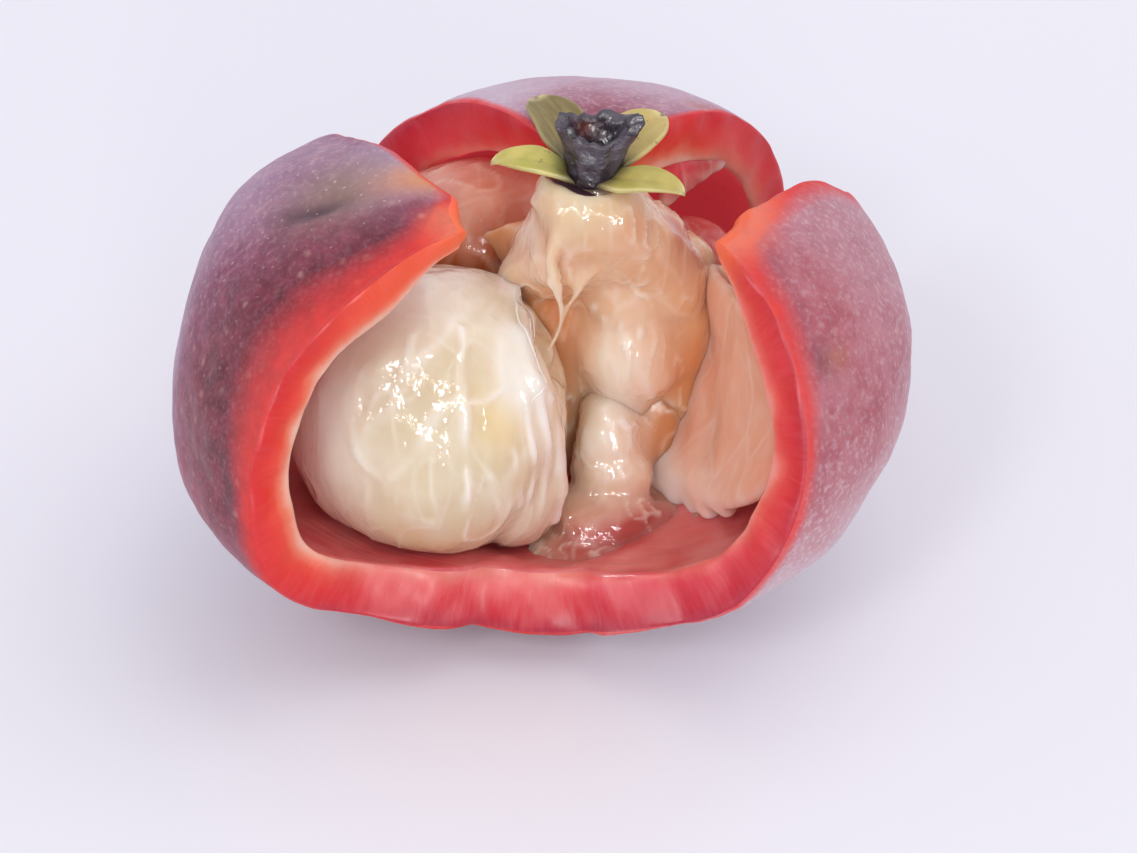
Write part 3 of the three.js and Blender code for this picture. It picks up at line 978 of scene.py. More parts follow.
        # Painted light in these layers: the bloom is lighter on the right flap and at the left flap's outer
        # edge, where light falls and sheen shows; the glow layer lights the shaded hollow; the sun layer
        # lightens the cut near the flaps' tops.
        tipped = 0.0 if flap.side is Side.BACK else ramp(flap.top - 12.0, flap.top - 1.0, t)
        low = ramp(72.0, 46.0, t)
        if flap.side is Side.LEFT:
            bloom_and_painted_light = 0.08 + 0.44 * ramp(106.0, 58.0, t) + 0.1 * ramp(138.0, 160.0, t)
            bloom_and_painted_light = bloom_and_painted_light + 0.64 * ramp(212.0, 166.0, longitude)
            crimson, painted_glow, painted_sunlight = 0.1 + 0.7 * low, 0.2, ramp(124.0, 156.0, t)
            fade = mix(1.8, 4.6, ramp(86.0, 116.0, t)) - 2.0 * ramp(132.0, 154.0, t)
            tipped = tipped * ramp(184.0, 204.0, longitude)
            fade = mix(0.4, fade, ramp(172.0, 204.0, longitude))
            plum = 1.0 - 0.6 * ramp(126.0, 100.0, t) * ramp(186.0, 206.0, longitude)
            rime = 0.05 + 0.3 * low + 0.15 * ramp(196.0, 172.0, longitude)
        elif flap.side is Side.RIGHT:
            bloom_and_painted_light = 0.52 + 0.48 * ramp(120.0, 66.0, t) + 0.14 * ramp(-34.0, 6.0, longitude)
            crimson, painted_glow, painted_sunlight = 0.6 + 0.4 * ramp(100.0, 64.0, t), 0.2, 0.15 * ramp(146.0, 162.0, t)
            fade, plum = mix(1.2, 2.2, ramp(110.0, 140.0, t)), 0.25 * ramp(-30.0, 0.0, longitude)
            rime = 0.14 + 0.4 * ramp(130.0, 80.0, t) + 0.15 * ramp(-30.0, 10.0, longitude)
        else:
            bloom_and_painted_light = 0.8 + 0.2 * ramp(84.0, 130.0, longitude) - 0.42 * ramp(146.0, 172.0, t)
            crimson = 0.9 - 0.4 * ramp(130.0, 166.0, t) - 0.45 * ramp(96.0, 64.0, longitude)
            fade, painted_glow, painted_sunlight, plum, rime = 0.6, 0.75, 0.0, 0.6, 0.25
        return {"bloom_and_painted_light": np.clip(bloom_and_painted_light, 0.0, 1.0), "crimson": crimson, "tip": tipped, "fade": fade,
                "frost": mix(0.25, 0.8, low), "painted_glow": painted_glow, "painted_sunlight": painted_sunlight, "plum": plum, "rime": rime}

    def patch(self, quilt: Quilt, flap: Flap, span: tuple, t: Array, columns: int) -> None:
        """Adds the skin and the inner wall between two longitudes.

        Args:
            quilt: Where they are added.
            flap: The flap that they belong to.
            span: Longitudes of both sides, a number or an array that follows t.
            t: Polar angles of the rows.
            columns: Faces across.
        """
        u = crowded(columns, 0.4)[None, :]
        start, end = (np.broadcast_to(side, t.shape)[:, None] for side in span)
        longitude, rows = mix(start, end, u), t[:, None] + 0.0 * u
        for face, share in ((RindFace.SKIN, 0.0), (RindFace.HOLLOW, 1.0)):
            depth = self.thickness(flap, rows) * share
            points = self.place(flap, longitude, rows, depth)
            around = np.radians(longitude) * self.profile(rows, depth)[0]
            grain = np.stack([around, np.radians(rows) * self.radius], axis=-1)
            quilt.add(points, grain, face.value, {"depth": share, **self.marks(flap, longitude, rows)})

    def wall(self, quilt: Quilt, flap: Flap, longitude: Array, t: Array, along: Array) -> None:
        """Adds a strip through the rind's thickness along an edge.

        Args:
            quilt: Where it is added.
            flap: The flap that it belongs to.
            longitude: Longitude of each row.
            t: Polar angle of each row.
            along: Distance of each row along the edge.
        """
        u = crowded(self.steps, 0.3)[None, :]
        rows, around, along = (values[:, None] + 0.0 * u for values in (t, longitude, along))
        depth = self.thickness(flap, rows) * u
        points = self.place(flap, around, rows, depth)
        grain = np.stack([along, depth], axis=-1)
        quilt.add(points, grain, RindFace.FLESH.value, {"depth": u, **self.marks(flap, around, rows)})

    def columns_of(self, span: tuple[float, float], columns: int) -> Array:
        """Longitudes of a patch's columns."""
        return mix(*span, crowded(columns, 0.4))

    def quilt(self) -> Quilt:
        """Lays out every patch and cut of the rind."""
        quilt = Quilt()
        base = np.linspace(0.0, CUT_END, self.base_rows + 1)
        disc = np.linspace(self.disc, 180.0, self.disc_rows + 1)
        for flap in FLAPS.values():
            top = self.disc if flap.side is Side.BACK else flap.top
            t = np.linspace(CUT_END, top, self.rows + 1)
            start, end = flap.span(t)
            self.patch(quilt, flap, (start[0], end[0]), base, flap.columns)
            self.patch(quilt, flap, (start, end), t, flap.columns)
            for edge in (start, end):
                self.wall(quilt, flap, edge, t, np.radians(t) * self.radius)
            if flap.side is not Side.BACK:
                rim = self.columns_of((start[-1], end[-1]), flap.columns)
                self.wall(quilt, flap, rim, np.full(rim.shape, top), np.radians(rim) * self.radius * 0.3)
        back = FLAPS[Side.BACK]
        start, end = (side[0] for side in back.span(np.array([self.disc])))
        rest = (end, start + 360.0)
        self.patch(quilt, back, (start, end), disc, back.columns)
        self.patch(quilt, back, rest, disc, 2 * back.columns)
        rim = self.columns_of(rest, 2 * back.columns)
        self.wall(quilt, back, rim, np.full(rim.shape, self.disc), np.radians(rim) * 2.5)
        left, low = FLAPS[Side.LEFT], np.array([CUT_END])
        front = (left.span(low)[1][0], FLAPS[Side.RIGHT].span(low)[0][0] + 360.0)
        self.patch(quilt, left, front, base, self.front_columns)
        rim = self.columns_of(front, self.front_columns)
        self.wall(quilt, left, rim, np.full(rim.shape, CUT_END), np.radians(rim) * self.radius * 0.6)
        return quilt

    def soften(self, mesh: Mesh) -> None:
        """Rounds the cut edges, makes the surface uneven and stores the layers that depend on place."""
        kinds = read(mesh.polygons, "material_index", kind=np.int64)
        kinds = np.repeat(kinds, read(mesh.polygons, "loop_total", kind=np.int64))
        corners = read(mesh.loops, "vertex_index", kind=np.int64)
        points = read_points(mesh)
        every = np.arange(len(points))
        meets = {face: np.isin(every, corners[kinds == face.value]) for face in RindFace}
        outer = meets[RindFace.SKIN] & meets[RindFace.FLESH]
        inner = meets[RindFace.HOLLOW] & meets[RindFace.FLESH]
        near_outer, near_any = (distance_to(points, points[chosen]) for chosen in (outer, outer | inner))
        tips, fades = (read(mesh.attributes[layer].data, "value") for layer in ("tip", "fade"))
        edges = read_edges(mesh)
        points = relax(points, edges, 14, 0.5 * bell(near_any, self.soft))
        points = relax(points, edges, 60, 0.5 * tips * bell(near_any, self.soft_tip))
        x, y, z = points.T
        lower_rim = ramp(-8.5, -10.0, y) * ramp(9.5, 8.0, z) * ramp(9.0, 6.5, abs(x + 0.6))
        points = relax(points, edges, 40, 0.5 * lower_rim * meets[RindFace.FLESH])
        write_points(mesh, points)
        ground = ramp(0.0, 1.6, points[:, 2])
        uneven = 0.12 * Ripple(9.0, 3).at(points) + 0.035 * Ripple(2.6, 4).at(points)
        cut = np.where(meets[RindFace.FLESH] & ~outer & ~inner, 0.1 * Ripple(3.4, 5).at(points), 0.0)
        move = ground * (uneven + cut) - blotted(points, self.blots, "dent")
        write_points(mesh, points + read_normals(mesh) * move[:, None])
        add_layer(mesh, "edge", near_outer)
        add_layer(mesh, "peel", np.where(meets[RindFace.SKIN], ramp(0.2, 2.2, near_outer - fades), 0.0))
        for layer in ("olive", "bruise_and_shade", "rust", "gold"):
            add_layer(mesh, layer, np.clip(blotted(points, self.blots, layer), 0.0, 1.0))

    def lining(self, free_edge: tuple[tuple[float, Point, Point], ...]) -> tuple[Veil, tuple[Blot, ...]]:
        """Hangs the sheet of pulp that still clings to the right flap.

        Args:
            free_edge: For each line across it, from the top: the polar angle where it leaves the cut, a point
                halfway and the point where it ends.

        Returns:
            The sheet, and the blots that redden it where it leaves the flesh.
        """
        right = FLAPS[Side.RIGHT]
        lines, blots = [], []
        for t, halfway, end in free_edge:
            rows = np.full(4, t)
            depth = self.thickness(right, rows) + np.array([-1.1, -0.45, 0.15, 0.6])
            rooted = self.place(right, right.span(rows)[0] + np.array([3.0, 4.0, 7.0, 12.0]), rows, depth)
            lines.append((*map(tuple, rooted.tolist()), halfway, end))
            blots.append(Blot("warm", tuple(rooted[1]), (2.6, 2.6, 2.6), 0.75))
        return Veil(tuple(lines), 1.1, (56, 80)), tuple(blots)

    def build(self) -> Object:
        """Makes the rind and dresses it.

        Returns:
            The finished rind.
        """
        obj = self.quilt().sewn("opened_rind")
        self.soften(obj.data)
        finishes = (WaxySkin("waxy_kokum_skin"), CutFlesh("cut_kokum_flesh"), HollowWall("inner_rind_wall"))
        for finish in finishes:
            obj.data.materials.append(finish.material())
        return finished(obj, "rind", "rind")


def distance_to(points: Array, targets: Array) -> Array:
    """Gives each point's distance to the nearest target, in millimetres."""
    tree = KDTree(len(targets))
    for index, target in enumerate(targets.tolist()):
        tree.insert(target, index)
    tree.balance()
    return np.array([tree.find(point)[2] for point in points.tolist()])


# ---- lenticels ----

@dataclass
class Lenticels:
    """Pale corky pores scattered over the skin.

    Attributes:
        size: Half width, half length and height of one, in millimetres.
        spacing: Least distance between two, in millimetres.
        density: How many there are in a square millimetre.
        seed: Picks their places.
    """

    size: tuple[float, float, float] = (0.12, 0.13, 0.015)
    spacing: float = 0.7
    density: float = 0.8
    seed: int = 11

    def tree(self, cork: Material) -> NodeTree:
        """Makes the tree that scatters them over the skin it is given.

        Args:
            cork: Their material.

        Returns:
            A geometry tree with inputs for the spacing, the density and the size.
        """
        tree, given = start_tree("lenticels_on_skin", {
            "Skin": "Geometry", "Spacing": "Float", "Density": "Float", "Size": "Float"})
        points = add_node(tree, "GeometryNodeDistributePointsOnFaces", {
            "Mesh": given["Skin"], "Distance Min": given["Spacing"], "Density Max": given["Density"],
            "Density Factor": named(tree, "peel"), "Seed": self.seed}, distribute_method="POISSON")
        upright = add_node(tree, "FunctionNodeAlignRotationToVector", {
            "Rotation": points.outputs["Rotation"], "Vector": (0.0, 0.0, 1.0)}, axis="Y", pivot_axis="Z")
        pore = add_node(tree, "GeometryNodeMeshIcoSphere", {"Radius": given["Size"], "Subdivisions": 2})
        flat = add_node(tree, "GeometryNodeTransform", {
            "Geometry": pore, "Scale": tuple(side / self.size[1] for side in self.size)})
        scale = add_node(tree, "FunctionNodeRandomValue", {
            "Min": (0.3, 0.3, 0.5), "Max": (1.1, 1.2, 1.0), "Seed": self.seed}, data_type="FLOAT_VECTOR")
        scattered = add_node(tree, "GeometryNodeInstanceOnPoints", {
            "Points": points, "Instance": flat, "Rotation": upright, "Scale": scale})
        # The pores take their tone from the bloom layer, its painted light included.
        toned = add_node(tree, "GeometryNodeStoreNamedAttribute", {
            "Geometry": scattered, "Name": "tone", "Value": named(tree, "bloom_and_painted_light")},
            data_type="FLOAT", domain="INSTANCE")
        end_tree(tree, toned, cork)
        return tree

    def build(self, rind: Object) -> Object:
        """Scatters the lenticels over the rind's skin.

        Args:
            rind: The finished rind.

        Returns:
            The finished lenticels, as one piece.
        """
        tree = self.tree(PaleSpeck("corky_lenticels").material())
        obj = grown(placed("skin_lenticels", rind.data.copy()), tree, {
            "Spacing": self.spacing * MM, "Density": self.density / MM ** 2, "Size": self.size[1] * MM})
        return finished(obj, "rind")


def start_tree(name: str, given: dict[str, str]) -> tuple[NodeTree, object]:
    """Starts a geometry tree.

    Args:
        name: Its name.
        given: What kind of socket each of its inputs has, under the input's name.

    Returns:
        The tree, and the outputs that give its inputs by name.
    """
    tree = bpy.data.node_groups.new(name, "GeometryNodeTree")
    for key, kind in given.items():
        tree.interface.new_socket(key, in_out="INPUT", socket_type=f"NodeSocket{kind}")
    tree.interface.new_socket("Pieces", in_out="OUTPUT", socket_type="NodeSocketGeometry")
    return tree, add_node(tree, "NodeGroupInput").outputs


def named(tree: NodeTree, layer: str) -> Node:
    """Reads a layer in a geometry tree."""
    return add_node(tree, "GeometryNodeInputNamedAttribute", {"Name": layer}, data_type="FLOAT")


def end_tree(tree: NodeTree, pieces: Node, material: Material) -> None:
    """Turns the instances that a tree made into one dressed mesh."""
    real = add_node(tree, "GeometryNodeRealizeInstances", {"Geometry": pieces})
    dressed = add_node(tree, "GeometryNodeSetMaterial", {"Geometry": real, "Material": material})
    add_node(tree, "NodeGroupOutput", {"Pieces": dressed})


def grown(obj: Object, tree: NodeTree, values: dict[str, float]) -> Object:
    """Runs a tree on an object and keeps what it makes as a plain mesh.

    Args:
        obj: The object.
        tree: The geometry tree.
        values: What the tree's inputs are set to, under their names.

    Returns:
        The same object.
    """
    grower = obj.modifiers.new("grower", "NODES")
    grower.node_group = tree
    for item in tree.interface.items_tree:
        if item.in_out == "INPUT" and item.name in values:
            grower[item.identifier] = values[item.name]
    return applied(obj)


# ---- pulp ----

def curve_through(path: tuple[Point, ...], step: float = 0.25) -> Array:
    """Draws a smooth line through a few points.

    Args:
        path: The points, in millimetres.
        step: Distance between two points of the line.

    Returns:
        Points of the line, one in each row.
    """
    given = np.array(path, dtype=float)
    ends = np.concatenate([[2 * given[0] - given[1]], given, [2 * given[-1] - given[-2]]])
    line = [given[0]]
    for a, b, c, d in zip(ends, ends[1:], ends[2:], ends[3:]):
        count = max(2, int(np.linalg.norm(c - b) / step))
        u = (np.arange(count) + 1.0)[:, None] / count
        squared, cubic = 2 * a - 5 * b + 4 * c - d, 3 * b - a - 3 * c + d
        line.extend(0.5 * (2 * b + (c - a) * u + squared * u ** 2 + cubic * u ** 3))
    return np.array(line)


def evenly(path: object, count: int) -> Array:
    """Draws a smooth line through points and gives `count` points spaced evenly along it."""
    line = curve_through(path, 0.1)
    length = np.concatenate([[0.0], np.cumsum(np.linalg.norm(np.diff(line, axis=0), axis=1))])
    stops = np.linspace(0.0, length[-1], count)
    return np.stack([np.interp(stops, length, line[:, axis]) for axis in range(3)], axis=-1)


def add_shell(work: bmesh.types.BMesh, rings: Array) -> None:
    """Adds a closed skin around rings of points, the first and the last being filled.

    Args:
        work: Where it is added.
        rings: Points in millimetres, ring by ring.
    """
    rows = [[work.verts.new(Vector(point) * MM) for point in ring] for ring in rings.tolist()]
    for one, two in zip(rows, rows[1:]):
        for k in range(len(one)):
            work.faces.new((one[k - 1], one[k], two[k], two[k - 1]))
    work.faces.new(rows[0])
    work.faces.new(rows[-1])


@dataclass(frozen=True)
class Bulge:
    """A round swelling of the pulp.

    Attributes:
        at: Its middle, in millimetres.
        size: Its half sizes.
    """

    at: Point
    size: Point

    def add_to(self, work: bmesh.types.BMesh) -> None:
        """Adds it to a mesh."""
        size = Matrix.Diagonal((*(half * MM for half in self.size), 1.0))
        place = Matrix.Translation(Vector(self.at) * MM) @ size
        bmesh.ops.create_icosphere(work, subdivisions=3, radius=1.0, matrix=place)


@dataclass(frozen=True)
class Band:
    """A rope of membrane.

    Attributes:
        path: A few points that it runs through.
        radius: Its radius at its start, middle and end, in millimetres.
    """

    path: tuple[Point, ...]
    radius: tuple[float, float, float]

    def add_to(self, work: bmesh.types.BMesh) -> None:
        """Adds it to a mesh."""
        line = curve_through(self.path, 0.4)
        radius = np.interp(np.linspace(0.0, 2.0, len(line)), (0.0, 1.0, 2.0), self.radius)[:, None, None]
        along = np.gradient(line, axis=0)
        side = np.cross(along, (0.31, 0.95, 0.05))
        up = np.cross(side, along)
        side, up = (way / np.linalg.norm(way, axis=1)[:, None] for way in (side, up))
        turn = np.linspace(0.0, 2.0 * math.pi, 11)[None, :-1, None]
        add_shell(work, line[:, None] + radius * (side[:, None] * np.cos(turn) + up[:, None] * np.sin(turn)))


@dataclass(frozen=True)
class Veil:
    """A hanging membrane.

    Attributes:
        lines: Lines that run down it, side by side, each of a few points.
        thick: Its thickness in millimetres.
        size: Number of points down and across.
        hem: Share of its thickness left at the ends of the lines.
    """

    lines: tuple[tuple[Point, ...], ...]
    thick: float = 0.7
    size: tuple[int, int] = (26, 40)
    hem: float = 1.0

    def add_to(self, work: bmesh.types.BMesh) -> None:
        """Adds it to a mesh."""
        down = np.array([evenly(line, self.size[0]) for line in self.lines])
        sheet = np.array([evenly(down[:, row], self.size[1]) for row in range(self.size[0])])
        normal = np.cross(np.gradient(sheet, axis=0), np.gradient(sheet, axis=1))
        normal *= 0.5 * self.thick / np.linalg.norm(normal, axis=2)[:, :, None]
        normal *= mix(1.0, self.hem, ramp(0.35, 1.0, np.linspace(0.0, 1.0, self.size[0])))[:, None, None]
        add_shell(work, np.concatenate([sheet + normal, (sheet - normal)[:, ::-1]], axis=1))


@dataclass(frozen=True)
class Fold:
    """A raised fold of membrane on a piece of pulp.

    Attributes:
        path: A few points that it runs past.
        width: Its half width in millimetres.
        height: How far it stands up; below 0 it is a crease.
        pale: How pale it is.
    """

    path: tuple[Point, ...]
    width: float
    height: float
    pale: float = 0.7


# Share of the lumps' height, size in millimetres and stretch along z of each level of lumps.
LUMPS = ((1.0, 6.0, 1.0), (0.22, 2.4, 1.8), (0.07, 1.1, 1.5))


@dataclass(frozen=True)
class PulpPiece:
    """A segment of pulp, made from its solid with the folds and lumps that the solid leaves out.

    Attributes:
        node: Name of the solid.
        name: Name of the finished piece.
        slot: Name of the record's material slot.
        finish: Its material.
        voxel: Size of its faces in millimetres.
        rounds: How much its edges are softened.
        lumps: Height of its lumps in millimetres.
        rim: How pale its thin edges are.
        seed: Picks its lumps.
        added: Forms that grew onto it.
        folds: Its folds.
        blots: Places with another colour.
        from_solid: Whether the solid itself is part of the shape, or only the added forms are.
        crease: Distance between the fine wrinkles of its membrane, in millimetres.
        crease_height: How far the wrinkles stand up.
    """

    node: str
    name: str
    slot: str
    finish: WetPulp
    voxel: float = 0.32
    rounds: int = 10
    lumps: float = 0.2
    rim: float = 0.3
    seed: int = 1
    added: tuple[Bulge | Band | Veil, ...] = ()
    folds: tuple[Fold, ...] = ()
    blots: tuple[Blot, ...] = ()
    from_solid: bool = True
    crease: float = 3.0
    crease_height: float = 0.12

    def build(self, frame: dict) -> Object:
        """Makes the piece and dresses it.


        Returns:
            The finished piece.
        """
        solid = frame["nodes"][self.node] if self.from_solid else None
        obj = remeshed(solid, self.name, self.voxel, self.added)
        mesh = obj.data
        edges = read_edges(mesh)
        points = relax(read_points(mesh), edges, self.rounds, 0.5)
        write_points(mesh, points)
        normals = read_normals(mesh)
        move = self.lumps * sum(
            share * Ripple(size, self.seed + level, (1.0, 1.0, tall)).at(points)
            for level, (share, size, tall) in enumerate(LUMPS))
        wrinkle = bell(Ripple(self.crease, self.seed + 5, (1.0, 1.0, 2.6)).at(points), 0.17)
        wrinkle *= np.clip(0.4 + 0.8 * Ripple(5.0, self.seed + 6).at(points), 0.0, 1.0)
        move += self.crease_height * wrinkle
        pale = min(0.55, 4.0 * self.crease_height) * wrinkle
        for fold in self.folds:
            away = distance_to(points, curve_through(fold.path))
            width = fold.width * (1.0 + 0.4 * Ripple(3.2, self.seed + 3).at(points))
            share = np.clip(0.7 + 0.5 * Ripple(4.0, self.seed + 4).at(points), 0.1, 1.2)
            move += fold.height * share * bell(away, width)
            pale = np.maximum(pale, fold.pale * share * bell(away, 1.3 * width))
        points = points + normals * move[:, None]
        write_points(mesh, points)
        thin = np.einsum("ij,ij->i", points - relax(points, edges, 14, 0.5), read_normals(mesh))
        pale = np.maximum(pale, self.rim * ramp(0.04, 0.2, thin))
        shades = {layer: blotted(points, self.blots, layer) for layer in ("warm", "yellow", "pink", "fold")}
        shades["fold"] += pale
        # Painted shade: hollows of the surface take the warm colour.
        shades["warm"] += 0.5 * ramp(0.04, 0.3, -thin)
        for layer, values in shades.items():
            add_layer(mesh, layer, np.clip(values, 0.0, 1.0))
        mesh.materials.append(self.finish.material())
        return finished(obj, self.slot, self.node)


CREAM_JELLY = WetPulp("cream_seed_jelly", body="#e8dcc0", shade="#dccaa4", fold="#f8f2e4", warm="#c49c74",
                      gloss=1.0, dimple=0.24)
PEACH_JELLY = WetPulp("peach_seed_jelly", body="#f0dec4", shade="#e8c8a0", fold="#faf0e2", warm="#d2905a",
                      gloss=1.0, dimple=0.34, blush="#bc5c56")
ROSE_JELLY = WetPulp("rose_back_membrane", body="#d8665e", shade="#c04c4c", fold="#f4d8cc", warm="#a83c38",
                     gloss=0.5, depth=2.0, dimple=0.12, blush="#e84e58")
DEEP_JELLY = WetPulp("amber_back_jelly", body="#d88a60", shade="#cc764a", fold="#f0cdb8", warm="#c2622e",
                     gloss=0.8)
TENT_MEMBRANE = WetPulp("pulp_tent_membrane", body="#eecda8", shade="#e6b98c", fold="#f8e6d0",
                        warm="#d89058", gloss=1.0, dimple=0.24, blush="#bc5a56")
TORN_LINING = WetPulp("torn_pulp_lining", body="#edb095", shade="#e7a486", fold="#f8e0d4", warm="#e4583e",
                      gloss=0.35, dimple=0.06)
WHITE_THREAD = WetPulp("white_membrane_thread", body="#f8f2e8", shade="#f6eede", fold="#fdf8f0",
                       warm="#e6b890", gloss=0.3, depth=0.03)

FRONT_LEFT = PulpPiece(
    "seed_front_left", "pulp_front_left", "pulp", CREAM_JELLY, voxel=0.24, rounds=20, lumps=0.12, rim=0.4,
    seed=21, crease=3.4, crease_height=0.08,
    added=(
        Band(((-4.0, 0.6, 23.4), (-2.6, -3.0, 23.4), (-1.9, -6.2, 21.4), (0.0, -6.4, 16.5),
              (0.6, -6.8, 10.5)),
             (0.5, 0.75, 0.6)),
        Band(((-3.9, 0.8, 23.4), (-3.0, -0.6, 24.0), (-1.8, -1.6, 23.9)), (0.3, 0.5, 0.3)),
        Band(((-4.4, 0.6, 23.6), (-5.2, 0.2, 24.4), (-6.4, -0.6, 24.9)), (0.3, 0.45, 0.3)),
    ),
    folds=(
        Fold(((-3.6, -0.4, 24.2), (-5.0, -3.4, 25.3), (-6.7, -5.5, 25.4), (-8.0, -7.3, 24.7),
              (-9.0, -8.4, 23.8)),
             0.5, 0.2, 0.5),
        Fold(((-3.6, -1.0, 24.2), (-4.3, -3.9, 24.9), (-5.1, -5.8, 24.7), (-6.2, -7.4, 24.0)),
             0.34, 0.2, 0.55),
        Fold(((-6.2, -6.1, 25.0), (-6.1, -8.3, 23.3), (-6.0, -10.3, 20.6), (-5.9, -11.5, 17.1),
              (-5.6, -11.8, 12.5), (-5.4, -11.4, 9.0)), 0.34, 0.3),
        Fold(((-2.7, -0.6, 23.6), (-2.0, -4.7, 22.9), (-1.7, -6.7, 21.4)), 1.1, 0.35, 0.85),
        Fold(((-1.7, -6.7, 21.4), (-0.4, -6.5, 19.1), (0.2, -6.9, 15.7), (0.4, -6.8, 11.9), (0.1, -6.9, 8.1)),
             0.3, 0.34, 0.85),
        Fold(((-1.9, -6.4, 21.8), (-0.6, -7.6, 18.1), (-0.4, -7.9, 14.8), (-0.9, -8.4, 9.6)),
             0.26, 0.3, 0.85),
        Fold(((-2.2, -6.8, 21.6), (-1.6, -8.6, 18.6), (-1.4, -9.0, 14.6), (-1.9, -9.2, 10.0)), 0.24, 0.2),
        Fold(((-2.0, -6.6, 21.6), (-3.4, -8.2, 21.4), (-4.6, -9.2, 21.4), (-5.6, -9.6, 21.6)), 0.24, 0.18),
        Fold(((-9.6, -6.6, 25.2), (-10.0, -8.6, 23.6), (-10.8, -9.9, 21.6), (-12.6, -10.4, 20.0)),
             0.4, 0.2, 0.25),
        Fold(((-6.0, -9.4, 22.2), (-8.0, -10.4, 21.0), (-9.6, -11.4, 18.2), (-11.0, -11.6, 16.8)),
             0.3, 0.2, 0.5),
        Fold(((-13.9, -9.2, 21.4), (-13.8, -10.2, 19.5), (-13.0, -11.0, 17.4), (-11.6, -11.6, 16.4)),
             0.34, 0.16, 0.35),
        Fold(((-8.4, -12.2, 13.1), (-10.0, -12.0, 13.6), (-11.8, -11.2, 14.6)), 0.34, 0.14, 0.4),
        Fold(((-4.2, -11.2, 16.0), (-3.6, -11.0, 13.0), (-3.4, -10.6, 10.0)), 0.26, 0.16, 0.5),
        Fold(((-2.6, -9.9, 17.4), (-2.3, -10.0, 14.6), (-2.1, -9.6, 12.0)), 0.3, 0.14, 0.4),
        Fold(((-4.4, 0.4, 24.4), (-8.6, -1.6, 26.0), (-12.5, -3.0, 24.6), (-15.4, -4.6, 21.5)),
             1.5, 0.16, 0.4),
        Fold(((-8.0, -8.4, 24.0), (-9.6, -9.4, 22.6), (-8.6, -10.6, 20.6)), 0.9, -0.22, 0.0),
        Fold(((-1.0, -1.6, 23.6), (0.0, -3.0, 21.6), (0.9, -4.0, 19.4)), 1.7, -1.1, 0.0),
    ),
    blots=(
        Blot("yellow", (-3.4, -9.4, 19.9), (2.0, 2.2, 2.3), 0.6),
        Blot("fold", (-2.6, -6.6, 22.2), (1.5, 2.6, 2.2)),
        Blot("fold", (-9.5, -2.6, 26.0), (6.0, 4.4, 2.6), 0.9),
        # Painted light: paler jelly on the left side lifts the shade that the left flap casts.
        Blot("fold", (-15.4, -7.0, 18.0), (3.4, 5.0, 7.4), 0.95),
        Blot("fold", (-2.6, -7.4, 20.6), (1.6, 2.2, 3.0), 0.6),
        Blot("fold", (-0.8, -7.2, 17.4), (1.2, 2.4, 3.4), 0.5),
        Blot("warm", (-9.0, -9.4, 22.6), (2.4, 1.8, 1.8), 0.14),
        Blot("warm", (-8.6, -11.4, 17.8), (2.4, 1.8, 2.2), 0.1),
        Blot("warm", (-8.0, -12.0, 9.5), (7.4, 3.6, 4.4), 0.85),
        Blot("warm", (-17.6, -4.0, 11.0), (2.0, 4.4, 3.4), 0.3),
        Blot("warm", (0.2, -2.6, 20.5), (1.4, 2.0, 3.0), 0.4),
        Blot("pink", (-3.0, -0.9, 24.4), (1.2, 0.9, 0.7), 0.9),
        Blot("pink", (1.0, -7.4, 6.6), (2.6, 3.0, 3.0), 0.5),
    ))

